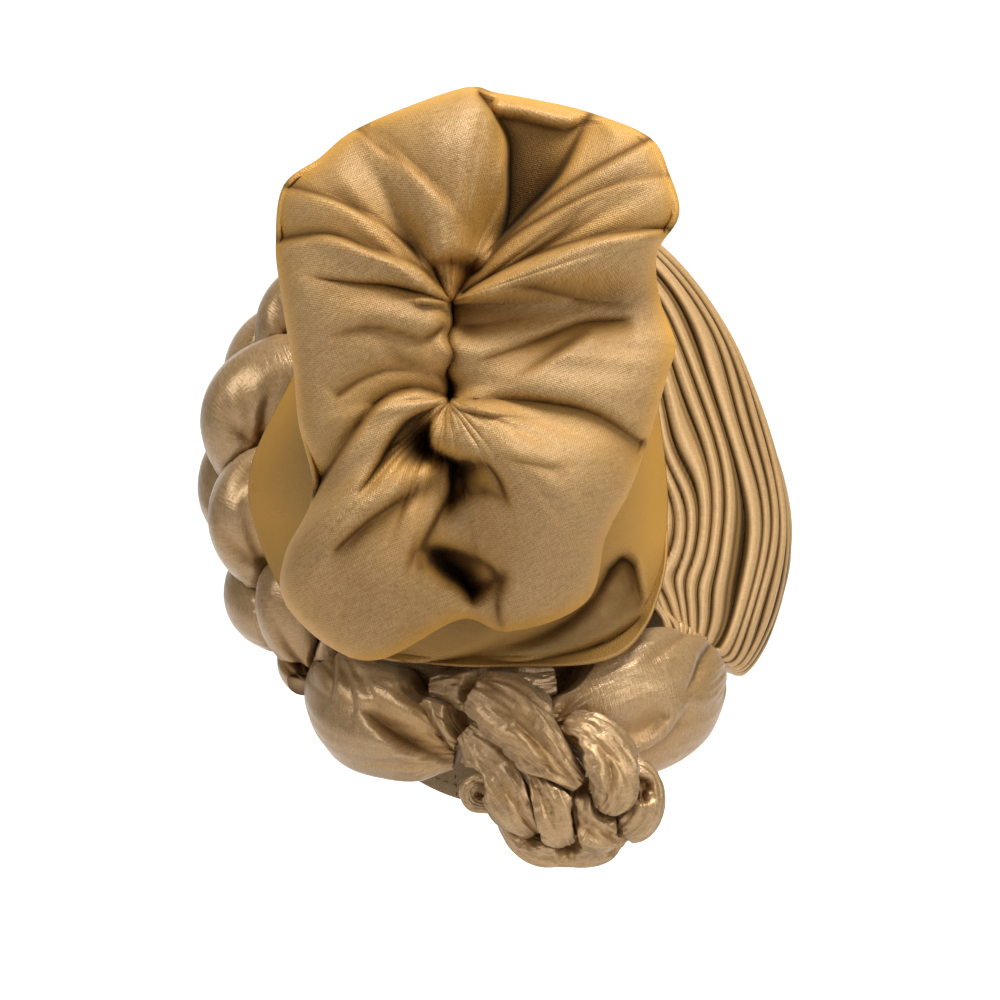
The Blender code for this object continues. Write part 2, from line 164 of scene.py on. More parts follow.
def spline(rows, count, closed=False):
    """Smooth curve through the rows of a table, sampled evenly from its first row to its last."""
    rows = np.array(rows, dtype=float)
    total = len(rows)
    spans = total if closed else total - 1
    at = np.linspace(0, spans, count, endpoint=not closed)
    low = np.minimum(at.astype(int), spans - 1)
    part = (at - low)[:, None]

    def row(index):
        return rows[index % total] if closed else rows[np.clip(index, 0, total - 1)]

    before, here, after, beyond = row(low - 1), row(low), row(low + 1), row(low + 2)
    straight = (after - before) * part
    square = (2 * before - 5 * here + 4 * after - beyond) * part ** 2
    cube = (3 * here - before - 3 * after + beyond) * part ** 3
    return 0.5 * (2 * here + straight + square + cube)


def narrowing(height):
    """How much of its full breadth the head keeps below the hat line."""
    below = np.clip(-height / NAPE_DROP, 0.0, HEAD_LIMIT)
    return 1 - NAPE_NARROWING * below ** 2


def head_point(turn, rise, off):
    """Point off the head: turn from the nape to the wearer's right and rise from the hat line, in degrees."""
    turn, rise = np.radians(turn), np.asarray(rise, dtype=float)
    above = np.radians(np.clip(rise, 0, 90))
    height = np.where(rise >= 0, (HEAD_CROWN + off) * np.sin(above), NAPE_DROP * rise / DROP_RISE)
    ring = np.where(rise >= 0, np.cos(above), narrowing(height))
    across = (HEAD_HALF_BREADTH + off) * ring * np.sin(turn)
    along = -(HEAD_HALF_LENGTH + off) * ring * np.cos(turn)
    return np.stack([across + 0 * height, along + 0 * height, height], axis=-1)


def rim_rise(rim, turn):
    """Rise of a rim round the head."""
    nape = (1 + np.cos(np.radians(turn))) / 2
    side = np.sin(np.radians(turn)) ** 2
    edge = rim["nape"] * nape + rim["forehead"] * (1 - nape)
    return edge + (rim["side"] - (rim["nape"] + rim["forehead"]) / 2) * side


def dome(rim, off, turns, rises):
    """Grid over the head from a rim to the crown."""
    turn = np.arange(turns) * 360 / turns
    edge = rim_rise(rim, turn)
    return np.array([head_point(turn, edge + (90 - edge) * share, off) for share in np.linspace(0, 1, rises)])


def waves(places, count, reach, seed):
    """Smooth seeded noise between -1 and 1 at two or three coordinates, as a sum of waves."""
    random = np.random.default_rng(seed)
    total = np.zeros(places.shape[:-1])
    for _ in range(count):
        way = random.normal(size=places.shape[-1])
        way *= random.uniform(*WAVE_LENGTHS) / reach / np.linalg.norm(way)
        total += np.sin(places @ way * 2 * math.pi + random.uniform(0, 2 * math.pi))
    return total / math.sqrt(count)


def creasing(noise):
    """Seeded noise turned into narrow ridges of height one."""
    return 1 - np.sqrt(np.abs(noise).clip(0, 1))


def lofted(name, grid, material, around=False, uv=None, marks=None, ends=False):
    """Mesh object from a grid of points, with a map in metres along the cloth and named marks for its material."""
    rows, across = grid.shape[:2]
    columns = across if around else across - 1
    row, column = np.meshgrid(np.arange(rows - 1), np.arange(columns), indexing="ij")
    after = (column + 1) % across
    faces = np.stack([
        row * across + column, row * across + after, (row + 1) * across + after, (row + 1) * across + column,
    ], axis=-1).reshape(-1, 4)
    if uv is None:
        along = np.linalg.norm(np.diff(grid, axis=0), axis=2).mean(axis=1)
        sideways = np.linalg.norm(np.diff(grid, axis=1), axis=2).mean(axis=0)
        v = np.concatenate([[0], np.cumsum(along)])
        u = np.concatenate([[0], np.cumsum(sideways)])
        uv = np.stack(np.meshgrid(v, u, indexing="ij")[::-1], axis=-1)
    step = uv[:, 1:2] - uv[:, 0:1]
    closing = np.concatenate([uv, uv[:, -1:] + step], axis=1)
    corner_uv = np.stack([
        closing[row, column], closing[row, column + 1], closing[row + 1, column + 1], closing[row + 1, column],
    ], axis=2).reshape(-1, 2)
    points, face_list = grid.reshape(-1, 3).tolist(), faces.tolist()
    if ends:
        first, last = len(points), len(points) + 1
        points += [grid[0].mean(axis=0).tolist(), grid[-1].mean(axis=0).tolist()]
        base = (rows - 1) * across
        for place in range(across):
            beside = (place + 1) % across
            face_list.append((first, beside, place))
            face_list.append((last, base + place, base + beside))
        corner_uv = np.concatenate([corner_uv, np.zeros((6 * across, 2))])
    mesh = bpy.data.meshes.new(name)
    mesh.from_pydata(points, [], face_list)
    mesh.uv_layers.new(name="cloth").uv.foreach_set("vector", corner_uv.astype(np.float32).ravel())
    for title, values in (marks or {}).items():
        filled = np.concatenate([values.ravel(), np.zeros(len(points) - values.size)])
        mesh.attributes.new(title, "FLOAT", "POINT").data.foreach_set("value", filled.astype(np.float32))
    mesh.materials.append(material)
    mesh.shade_smooth()
    return added(name, mesh)


def face_out(item, middle=None):
    """Merge doubles, then turn the faces away from a point, or outwards on a closed body."""
    work = bmesh.new()
    work.from_mesh(item.data)
    bmesh.ops.remove_doubles(work, verts=work.verts, dist=MERGE_REACH)
    bmesh.ops.recalc_face_normals(work, faces=work.faces)
    if middle is not None:
        facing = 0.0
        for face in work.faces:
            place = face.calc_center_median()
            facing += face.calc_area() * sum(face.normal[i] * (place[i] - middle[i]) for i in range(3))
        if facing < 0:
            bmesh.ops.reverse_faces(work, faces=work.faces)
    work.to_mesh(item.data)
    work.free()
    item.data.shade_smooth()


def thicken(item, thickness):
    """Give a cloth its thickness on the outer side."""
    wall = item.modifiers.new("Thickness", "SOLIDIFY")
    wall.thickness = thickness
    wall.offset = 1.0
    wall.use_even_offset = False


def wired(tree, kind, inputs=None, **settings):
    """A node in a tree, with its settings, and with a wire or a fixed value at each input that is given."""
    node = tree.nodes.new(kind)
    for setting, value in settings.items():
        setattr(node, setting, value)
    for socket, value in (inputs or {}).items():
        if isinstance(value, bpy.types.NodeSocket):
            tree.links.new(value, node.inputs[socket])
        else:
            node.inputs[socket].default_value = value
    return node


def woven(name, face, shade, painted_gold_light, dark, roughness, metal, weave, thread, slub, sheen, sheen_colour, gloss, plain=0.3):
    """Woven cloth: crossed threads and slubs in its map, drifting colour, and painted light and shade marked on the
    mesh.
    """
    material, tree, shader = finish(name)
    cloth_map = wired(tree, "ShaderNodeUVMap", uv_map="cloth").outputs["UV"]
    solid = wired(tree, "ShaderNodeTexCoord").outputs["Object"]
    deep = wired(tree, "ShaderNodeAttribute", attribute_name="shade").outputs["Fac"]
    golden = wired(tree, "ShaderNodeAttribute", attribute_name="painted_gold_light").outputs["Fac"]

    def stretched(scale_u, scale_v, detail):
        place = wired(tree, "ShaderNodeMapping", {"Vector": cloth_map, "Scale": (scale_u, scale_v, 1)})
        noise = {"Vector": place.outputs["Vector"], "Scale": 1.0, "Detail": detail}
        return wired(tree, "ShaderNodeTexNoise", noise).outputs["Fac"]

    def mixed(kind, first, second=0.0):
        return wired(tree, "ShaderNodeMath", {0: first, 1: second}, operation=kind).outputs[0]

    def ranged(value, low, high, start=0.0, end=1.0):
        ends = {"Value": value, "From Min": low, "From Max": high, "To Min": start, "To Max": end}
        return wired(tree, "ShaderNodeMapRange", ends).outputs["Result"]

    def tinted(share, first, second):
        return wired(tree, "ShaderNodeMix", {0: share, 6: first, 7: second}, data_type="RGBA").outputs[2]

    warp = stretched(1 / thread, 1 / (thread * THREAD_LENGTH), 1.0)
    weft = stretched(1 / (thread * THREAD_LENGTH), 1 / thread, 1.0)
    slubs = stretched(1 / (thread * SLUB_LENGTH), 1 / (thread * SLUB_WIDTH), 2.0)
    apart = wired(tree, "ShaderNodeSeparateXYZ", {"Vector": cloth_map})
    across = mixed("SINE", mixed("MULTIPLY", apart.outputs["X"], math.pi / thread))
    along = mixed("SINE", mixed("MULTIPLY", apart.outputs["Y"], math.pi / thread))
    crossed = mixed("MULTIPLY", mixed("MULTIPLY", across, along), plain)
    threads = mixed("ADD", mixed("ADD", warp, weft), crossed)
    relief = mixed("ADD", threads, mixed("MULTIPLY", slubs, slub))
    bump = wired(tree, "ShaderNodeBump", {"Strength": 1.0, "Distance": weave, "Height": relief})

    drift = wired(tree, "ShaderNodeTexNoise", {"Vector": solid, "Scale": DRIFT_SCALE, "Detail": 2.0}).outputs["Fac"]
    cloud = mixed("ADD", mixed("MULTIPLY", slubs, SLUB_TONE), mixed("MULTIPLY", drift, DRIFT_TONE))
    tone = ranged(mixed("ADD", mixed("MULTIPLY", threads, THREAD_TONE), cloud), *TONE_RANGE)
    # The painted golden light mark tints the colour golden; the painted shade mark darkens it in two steps, duller and
    # more metallic.
    colour = tinted(golden, tinted(tone, (*shade, 1), (*face, 1)), (*painted_gold_light, 1))
    for low, high, share in DARK_STEPS:
        colour = tinted(ranged(deep, low, high), colour, (*(part * share for part in dark), 1))
    rough = ranged(slubs, 0.0, 1.0, roughness - SLUB_ROUGHNESS, roughness + SLUB_ROUGHNESS)
    duller = mixed("ADD", rough, mixed("MULTIPLY", deep, DARK_ROUGHNESS))
    tinny = mixed("ADD", mixed("MULTIPLY", deep, DARK_METAL), metal)
    for socket, value in (
        ("Normal", bump.outputs["Normal"]),
        ("Base Color", colour),
        ("Roughness", duller),
        ("Metallic", mixed("MINIMUM", tinny, METAL_LIMIT)),
    ):
        tree.links.new(value, shader.inputs[socket])
    shader.inputs["Sheen Weight"].default_value = sheen
    shader.inputs["Sheen Roughness"].default_value = SHEEN_ROUGHNESS
    shader.inputs["Sheen Tint"].default_value = (*sheen_colour, 1)
    shader.inputs["Specular IOR Level"].default_value = gloss
    return material


cap_cloth = woven(
    "cap_cloth", face=(0.22, 0.145, 0.065), shade=(0.16, 0.10, 0.045), painted_gold_light=(0.25, 0.15, 0.06),
    dark=(0.08, 0.045, 0.015), roughness=0.75, metal=0.0,
    weave=0.25 * MM, thread=0.9 * MM, slub=0.4, sheen=0.15, sheen_colour=(0.9, 0.75, 0.5), gloss=0.25,
)
cap = lofted("inner_cap", dome(CAP_RIM, 0.0, CAP_TURNS, CAP_RISES), cap_cloth, around=True)
face_out(cap, (0, 0, 0))
thicken(cap, CAP_CLOTH)
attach(cap, "root")
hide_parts("inner_cap")

# Cap stitches
# Dark brown thread holds the cap's turned hem and the short upright seam at its nape.
# The stitches are small and even, half sunk in the cloth, and run round the rim and up the seam.
STITCH_LENGTH = 2.8 * MM
STITCH_SPACING = 4.2 * MM
STITCH_RADIUS = 0.38 * MM
STITCH_SIDES = 8
STITCH_ROWS = 6
STITCH_UNEVEN = (0.42, 0.52)
STITCH_SEED = 5
HEM_RISE = 3.5
HEM_STEPS = 240
NAPE_SEAM_TURN = -16.6
NAPE_SEAM_RISE = (1.0, 20.0)
NAPE_SEAM_STEPS = 30
THREAD_DARK = (0.012, 0.008, 0.004, 1)
THREAD_LIGHT = (0.075, 0.045, 0.020, 1)
THREAD_ROUGHNESS = 0.85
THREAD_GLOSS = 0.15
THREAD_FIBRES = 1400.0
THREAD_RELIEF = 0.08 * MM

hem_turn = np.arange(HEM_STEPS) * 360 / HEM_STEPS
hem_line = head_point(hem_turn, rim_rise(CAP_RIM, hem_turn) + HEM_RISE, CAP_CLOTH)
seam_turn = np.full(NAPE_SEAM_STEPS, NAPE_SEAM_TURN)
seam_rise = rim_rise(CAP_RIM, seam_turn) + np.linspace(*NAPE_SEAM_RISE, NAPE_SEAM_STEPS)
seam_line = head_point(seam_turn, seam_rise, CAP_CLOTH)
path_points = [tuple(point) for point in np.concatenate([hem_line, seam_line])]
path_edges = [(place, (place + 1) % HEM_STEPS) for place in range(HEM_STEPS)]
path_edges += [(HEM_STEPS + place, HEM_STEPS + place + 1) for place in range(NAPE_SEAM_STEPS - 1)]
path_mesh = bpy.data.meshes.new("stitch_path")
path_mesh.from_pydata(path_points, path_edges, [])
stitch_path = added("stitch_path", path_mesh)

thread_paint, paint_tree, thread_shader = finish("cap_thread")
thread_shader.inputs["Roughness"].default_value = THREAD_ROUGHNESS
thread_shader.inputs["Specular IOR Level"].default_value = THREAD_GLOSS
thread_place = wired(paint_tree, "ShaderNodeTexCoord").outputs["Object"]
fibres = wired(paint_tree, "ShaderNodeTexNoise", {"Vector": thread_place, "Scale": THREAD_FIBRES}).outputs["Fac"]
thread_tint = wired(paint_tree, "ShaderNodeMix", {0: fibres, 6: THREAD_DARK, 7: THREAD_LIGHT}, data_type="RGBA")
thread_bump = wired(paint_tree, "ShaderNodeBump", {"Distance": THREAD_RELIEF, "Height": fibres})
paint_tree.links.new(thread_tint.outputs[2], thread_shader.inputs["Base Color"])
paint_tree.links.new(thread_bump.outputs["Normal"], thread_shader.inputs["Normal"])

tree = bpy.data.node_groups.new("cap_stitches", "GeometryNodeTree")
for socket, way, kind in (
    ("Geometry", "INPUT", "Geometry"), ("Spacing", "INPUT", "Float"), ("Length", "INPUT", "Float"),
    ("Radius", "INPUT", "Float"), ("Seed", "INPUT", "Int"), ("Geometry", "OUTPUT", "Geometry"),
):
    tree.interface.new_socket(socket, in_out=way, socket_type="NodeSocket" + kind)
given = tree.nodes.new("NodeGroupInput").outputs
shortest, longest = STITCH_UNEVEN
curve = wired(tree, "GeometryNodeMeshToCurve", {"Mesh": given["Geometry"]})
spots = wired(
    tree, "GeometryNodeCurveToPoints", {"Curve": curve.outputs["Curve"], "Length": given["Spacing"]}, mode="LENGTH",
)
bead = wired(tree, "GeometryNodeMeshUVSphere", {"Segments": STITCH_SIDES, "Rings": STITCH_ROWS, "Radius": 1.0})
uneven = wired(tree, "FunctionNodeRandomValue", {2: shortest, 3: longest, "Seed": given["Seed"]})
half_length = wired(tree, "ShaderNodeMath", {0: given["Length"], 1: uneven.outputs[1]}, operation="MULTIPLY")
size = wired(
    tree, "ShaderNodeCombineXYZ", {"X": given["Radius"], "Y": given["Radius"], "Z": half_length.outputs[0]},
)
placed = wired(tree, "GeometryNodeInstanceOnPoints", {
    "Points": spots.outputs["Points"], "Rotation": spots.outputs["Rotation"],
    "Instance": bead.outputs["Mesh"], "Scale": size.outputs["Vector"],
})
smooth = wired(tree, "GeometryNodeSetShadeSmooth", {"Geometry": placed.outputs["Instances"]})
realized = wired(tree, "GeometryNodeRealizeInstances", {"Geometry": smooth.outputs["Geometry"]})
painted = wired(
    tree, "GeometryNodeSetMaterial", {"Geometry": realized.outputs["Geometry"], "Material": thread_paint},
)
wired(tree, "NodeGroupOutput", {"Geometry": painted.outputs["Geometry"]})
sewing = stitch_path.modifiers.new("Stitches", "NODES")
sewing.node_group = tree
wanted = {"Spacing": STITCH_SPACING, "Length": STITCH_LENGTH, "Radius": STITCH_RADIUS, "Seed": STITCH_SEED}
for item in tree.interface.items_tree:
    if item.in_out == "INPUT" and item.name in wanted:
        sewing[item.identifier] = wanted[item.name]
sewn = stitch_path.evaluated_get(bpy.context.evaluated_depsgraph_get())
stitch_mesh = bpy.data.meshes.new_from_object(sewn)
stitch_path.modifiers.remove(sewing)
bpy.data.objects.remove(stitch_path)
stitches = added("cap_stitches", stitch_mesh)
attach(stitches, "root")

# Crown wrap
# Plain taffeta is stretched over the cap from the forehead to the nape, with its edge turned under.
# The fan, the braid and the rolls are sewn to it; from behind it is hidden, so it is left plain.
WRAP_CLOTH = 2.0 * MM
LAYER_GAP = 0.4 * MM
WRAP_OFF = CAP_CLOTH + LAYER_GAP
CARRIED_OFF = WRAP_OFF + WRAP_CLOTH + LAYER_GAP
WRAP_RIM = {"nape": -32.0, "side": -15.0, "forehead": 4.0}
WRAP_TURNS = 160
WRAP_RISES = 50
taffeta = woven(
    "ruffle_taffeta", face=(0.42, 0.272, 0.120), shade=(0.22, 0.11, 0.026), painted_gold_light=(0.55, 0.28, 0.045),
    dark=(0.15, 0.070, 0.012), roughness=0.48, metal=0.12, weave=0.22 * MM, thread=0.6 * MM, slub=0.3,
    sheen=0.03, sheen_colour=(1.0, 0.92, 0.80), gloss=0.45,
)
wrap = lofted("crown_wrap", dome(WRAP_RIM, WRAP_OFF, WRAP_TURNS, WRAP_RISES), taffeta, around=True)
face_out(wrap, (0, 0, 0))
thicken(wrap, WRAP_CLOTH)
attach(wrap, "root")
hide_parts("crown_wrap")

# Pleated fan
# One width of shot satin is laid in rounded pleats, stepped forward over a hollow crescent.
# The pleats gather at the right nape roll and again at the top left, where they are sewn down.
FAN_PLEATS = 13
FAN_PLEAT_HEIGHT = 2.7 * MM
FAN_CLOTH = 1.2 * MM
FAN_ROWS = 150
FAN_REAR_COLUMNS = 260
FAN_FRONT_COLUMNS = 50
FAN_FULLNESS = 0.62
FAN_REAR_PULL = 0.5
FAN_SMALLEST = 0.25
FAN_GROWTH = 1.25
FAN_MIDDLE = (0, 0, 0.03)
FAN_OUTWARD = (0.5, -1, 0.2)
FAN_COLUMNS = (
    "rear_turn", "rear_rise", "rear_off", "outer_x", "outer_y", "outer_z",
    "front_turn", "front_rise", "front_off",
)
FAN_TABLE = (
    (51, -13, 10, 98, -43, -15, 72, -14, 9),
    (53, 0, 13, 101, -44, -7, 74, -5, 16),
    (51, 7, 6, 114, -27, -24, 90, -8, 4),
    (48, 17, 0, 130, -8, 0, 108, -2, 0),
    (45, 32, 0.7, 137, 4, 38, 122, 8, 0),
    (44, 46, 8, 128, 10, 82, 134, 17, 0),
    (41, 56, 22, 108, 14, 128, 146, 25, 0),
    (34, 60, 34, 77, 16, 166, 158, 31, 0),
    (12, 61, 40, 40, 16, 188, 170, 36, 0),
    (-25, 62, 38, 6, 14, 191, 182, 42, 0),
    (-52, 66, 24, -17, 10, 178, 198, 50, 0),
    (-76, 66, 8, -31, 6, 144, 216, 58, 0),
    (-88, 62, 1, -35, 2, 108, 238, 62, 1),
)
# A pleat is round on top, leans forward, and is pressed to a narrow edge before it steps down to the next.
PLEAT_ROUNDNESS = 0.7
PLEAT_UPRIGHT = 0.72
PLEAT_LEAN = 0.28
PLEAT_LEAN_PLACE = 0.3
PLEAT_FULLNESS = 0.88
PLEAT_UNLIKE = 0.14
PLEAT_BEAT = 2.4
EDGE_PLACE = 0.82
EDGE_WIDTH = 0.06
EDGE_HEIGHT = 0.16
# The pressed edge gets a painted golden highlight; the valleys get painted shade and warm painted light.
EDGE_GOLD = 0.6
STEP_HEIGHT = 0.35
VALLEY_SHARPNESS = 1.6
VALLEY_GOLD = 0.25
PLEATS_END = 1.12
PLEATS_FADE = 0.12
PLEATS_STEADY = 1.6
PLEAT_DRIFT = 0.30
PLEAT_WANDER = (3.5, 6)
# Pleats pushed aside: by how many pleats, then where along and where across the fan, each with its reach.
PLEAT_PUSHES = (
    (-1.0, 0.34, 0.045, 0.22, 0.20),
    (0.7, 0.245, 0.035, 0.25, 0.25),
)
# Slow swings across the fan: by how many pleats, how many times, and where they start.
PLEAT_SWINGS = (
    (0.22, 2.1, 0.2),
    (0.10, 4.7, 0.6),
)


def columns(names, values):
    """The columns of a sampled table under their names."""
    return {name: values[:, place] for place, name in enumerate(names)}


def points_of(table, title):
    """Points in metres from a table's three columns of places in millimetres."""
    return np.stack([table[f"{title}_{axis}"] for axis in "xyz"], axis=-1) * MM


def bezier(first, second, third, last, share):
    """Points of one Bezier arch for each row, at each share of its length."""
    share = share[None, :, None]
    rest = 1 - share
    first, second, third, last = (point[:, None] for point in (first, second, third, last))
    return first * rest ** 3 + 3 * second * rest ** 2 * share + 3 * third * rest * share ** 2 + last * share ** 3


def unit(vectors):
    """Vectors at a length of one."""
    return vectors / np.linalg.norm(vectors, axis=-1, keepdims=True)


def hump(values, place, reach):
    """A smooth hump of height one round a place, and nothing far from it."""
    return np.exp(-((values - place) / reach) ** 2)


def grid_normals(grid, around=False):
    """Unit normals of a grid of points."""
    if around:
        wide = np.concatenate([grid[:, -1:], grid, grid[:, :1]], axis=1)
        sideways = (wide[:, 2:] - wide[:, :-2]) / 2
    else:
        sideways = np.gradient(grid, axis=1)
    normal = np.cross(sideways, np.gradient(grid, axis=0))
    return normal / (np.linalg.norm(normal, axis=2)[..., None] + 1e-12)


fan = columns(FAN_COLUMNS, spline(FAN_TABLE, FAN_ROWS))
fan_rear = head_point(fan["rear_turn"], fan["rear_rise"], CARRIED_OFF + fan["rear_off"] * MM)
fan_front = head_point(fan["front_turn"], fan["front_rise"], CARRIED_OFF + fan["front_off"] * MM)
fan_outer = points_of(fan, "outer")
fan_reach = (fan_outer - (fan_rear + fan_front) / 2) * FAN_FULLNESS
fan_spread = (fan_front - fan_rear) / 2 * FAN_FULLNESS
rear_share = np.linspace(0, 1, FAN_REAR_COLUMNS)
front_share = np.linspace(0, 1, FAN_FRONT_COLUMNS + 1)[1:]
rear_half = bezier(fan_rear, fan_rear + fan_reach * FAN_REAR_PULL, fan_outer - fan_spread, fan_outer, rear_share)
front_half = bezier(fan_outer, fan_outer + fan_spread, fan_front + fan_reach, fan_front, front_share)
fan_base = np.concatenate([rear_half, front_half], axis=1)
fan_width = np.linalg.norm(fan_front - fan_rear, axis=1)
fan_size = (fan_width / fan_width.max())[:, None]
fan_along = np.linspace(0, 1, FAN_ROWS)[:, None]
across = np.concatenate([rear_share, 1 + front_share])[None, :] + 0 * fan_along
wander = np.stack([across * PLEAT_WANDER[0], fan_along * PLEAT_WANDER[1] + 0 * across], axis=-1)
shift = PLEAT_DRIFT * waves(wander, count=9, reach=1.2, seed=3)
for push, at_along, reach_along, at_across, reach_across in PLEAT_PUSHES:
    shift = shift + push * hump(fan_along, at_along, reach_along) * hump(across, at_across, reach_across)
for swing, times, start in PLEAT_SWINGS:
    shift = shift + swing * np.sin(2 * math.pi * (times * across + start))
beat = across * FAN_PLEATS + shift * np.clip(PLEATS_STEADY - across, 0, 1)
phase = beat - np.floor(beat)
fullness = PLEAT_FULLNESS + PLEAT_UNLIKE * np.sin(PLEAT_BEAT * np.floor(beat) + 1)
lean = PLEAT_UPRIGHT + PLEAT_LEAN * np.cos(2 * math.pi * (phase - PLEAT_LEAN_PLACE))
pressed_edge = hump(phase, EDGE_PLACE, EDGE_WIDTH)
ridge = np.abs(np.sin(math.pi * phase)) ** PLEAT_ROUNDNESS * lean * fullness + EDGE_HEIGHT * pressed_edge
stepped = STEP_HEIGHT * (1 - phase)
fade = np.clip((PLEATS_END - across) / PLEATS_FADE, 0, 1)
height = FAN_PLEAT_HEIGHT * np.clip(fan_size * FAN_GROWTH, FAN_SMALLEST, 1) * (ridge + stepped) * fade
fan_normal = grid_normals(fan_base)
if (fan_normal[FAN_ROWS // 2, FAN_REAR_COLUMNS // 2] @ np.array(FAN_OUTWARD)) < 0:
    fan_normal = -fan_normal
fan_grid = fan_base + fan_normal * height[..., None]
satin = woven(
    "pleat_satin", face=(0.53, 0.335, 0.146), shade=(0.42, 0.24, 0.088), painted_gold_light=(0.58, 0.32, 0.08),
    dark=(0.12, 0.055, 0.008), roughness=0.42, metal=0.2, weave=0.10 * MM, thread=0.5 * MM, slub=0.5,
    sheen=0.1, sheen_colour=(1.0, 0.85, 0.65), gloss=0.6, plain=0.1,
)
# Painted shade in the valleys between pleats, and painted golden light on the pressed edges and in the valleys.
valley = np.clip(1 - ridge * VALLEY_SHARPNESS, 0, 1) * fade
fan_painted_light = (EDGE_GOLD * pressed_edge + VALLEY_GOLD * valley) * fade
fan_piece = lofted("pleated_fan", fan_grid, satin, marks={"shade": valley, "painted_gold_light": fan_painted_light})
face_out(fan_piece, FAN_MIDDLE)
thicken(fan_piece, FAN_CLOTH)
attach(fan_piece, "root")
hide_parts("pleated_fan")

# Braid
# Three padded tubes of satin are plaited and sewn up the left side of the crown.
# Each strand is full where it swells past its neighbours and creased where it dives under them.
STRAND_TURN = 159 * MM
STRAND_PHASE = 0.315
STRAND_RINGS = 260
STRAND_SIDES = 80
STRANDS = ["braid_strand_" + letter for letter in "abc"]
STRAND_SEED = 20
STRAND_NOISE = {"around": 1.5, "along": 3.2, "count": 9, "reach": 0.55}
STRAND_EASINGS = 50
STRAND_NEAR = 3
# How deep a crease is where a strand is full, and what pressing adds to that.
STRAND_CREASE = (0.05, 0.16)
STRAND_CREASE_NEAR = 0.25
STRAND_CREASE_SHARE = 0.8
BRAID_COLUMNS = ("x", "y", "z", "swing_along", "swing_off", "radius")
BRAID_TABLE = (
    (-84, -52, -22, 5, 4, 10),
    (-88, -38, -4, 14, 8, 18),
    (-94, -21, 20, 22, 13, 23),
    (-103, -6, 52, 27, 16, 25),
    (-103, 0, 88, 27, 15, 25),
    (-92, 4, 122, 24, 14, 23),
    (-74, 6, 148, 16, 11, 17),
    (-54, 7, 165, 9, 7, 11),
    (-40, 7, 172, 4, 4, 6),
)
# Tubes are pressed back from their neighbours and from the head, in small steps, until nothing meets.
TUBE_GAP = 0.25 * MM
TUBE_SAMPLES = 80
TUBE_FACING = 0.05
TUBE_LEAST = 0.5 * MM
TUBE_CREASED_LEAST = 0.3 * MM
PRESS_STEPS = 120
PRESS_SHARE = 0.985
# Each fold runs from x0, z0 to x4, z4 as seen from behind, and sinks the cloth on its low side.
# Its over is 1 where the cloth on the left of that run lies on top, or -1 where that on the right does.
FOLD_COLUMNS = (
    "x0", "z0", "x1", "z1", "x2", "z2", "x3", "z3", "x4", "z4",
    "over", "drop_start", "drop_middle", "drop_end", "round", "reach", "flatness",
)
STRAND_FOLDS = (
    (-111, 82.5, -116.5, 91.5, -119, 101, -120.5, 110.5, -118.5, 121, 1, 7, 4, 0, 2, 6, 1),
    (-110.5, 83, -110.5, 93, -109, 102.5, -106.5, 111.5, -102, 120, 1, 7, 4, 0, 2, 6, 1),
    (-113, 81.5, -120.5, 86, -125.5, 91, -129.5, 98.5, -130.5, 107, 1, 7, 4, 0, 2, 6, 1),
    (-111.5, 81, -117.5, 75.5, -121.5, 68.5, -124, 60, -125, 51.5, -1, 6, 3, 0, 2, 5, 1),
    (-111.5, 28, -116, 38, -118, 48, -119, 57.5, -117.5, 68, 1, 7, 4, 0, 2, 6, 1),
    (-113, 26.5, -121, 31, -127, 38, -131, 46.5, -132.5, 56, 1, 7, 4, 0, 2, 6, 1),
    (-92.5, -21.5, -98.5, -13, -103, -3.5, -106, 6, -107.5, 14.5, 1, 7, 4, 0, 2, 6, 1),
    (-93.5, -23, -101, -19, -107.5, -13, -111.5, -5.5, -113.5, 3, 1, 7, 4, 0, 2, 5, 1),
    (-101.5, 132.5, -104.5, 138.5, -106.5, 144.5, -107, 150, -106.5, 154.5, 1, 5, 3, 0, 2, 4, 1),
)
FOLD_POINTS = 33
FOLD_END = 3 * MM
FOLD_FULL = 5 * MM
EDGE_REACH = 1.3 * MM
CREASE_REACH = 0.9 * MM
SHADOW_REACH = 1.6 * MM
SHADOW_SOFT = 0.4
TUBE_DEEPEST = 0.7
# Warm painted golden light in pressed and sunk places; painted shade in creases, sunk places and at the gathered tips.
GOLD_DEPTH = 9 * MM
GOLD_PRESSED = 0.3
GOLD_MOST = 0.7
SHADE_CREASE = 0.5
SHADE_FROM = 3 * MM
SHADE_DEPTH = 14 * MM
SHADE_TIPS = 0.6
SHADE_MOST = 0.8
TIP_RINGS = 2


def inside_head(points, off):
    """Whether points lie nearer the head than the given distance off it."""
    x, y, z = points[..., 0], points[..., 1], points[..., 2]
    keep = narrowing(z)
    level = (x / (HEAD_HALF_BREADTH + off) / keep) ** 2 + (y / (HEAD_HALF_LENGTH + off) / keep) ** 2
    level = level + (np.clip(z, 0, None) / (HEAD_CROWN + off)) ** 2
    return (level < 1) & (z > -NAPE_DROP)


def tube_frame(line):
    """Directions across a centre line: one along the head's surface and one off it."""
    forward = unit(np.gradient(line, axis=0))
    off = line / np.array([HEAD_HALF_BREADTH, HEAD_HALF_LENGTH, HEAD_CROWN]) ** 2
    off[:, 2] = np.clip(off[:, 2], 0, None)
    off = unit(off - forward * np.sum(off * forward, axis=1)[:, None])
    return np.cross(forward, off), off


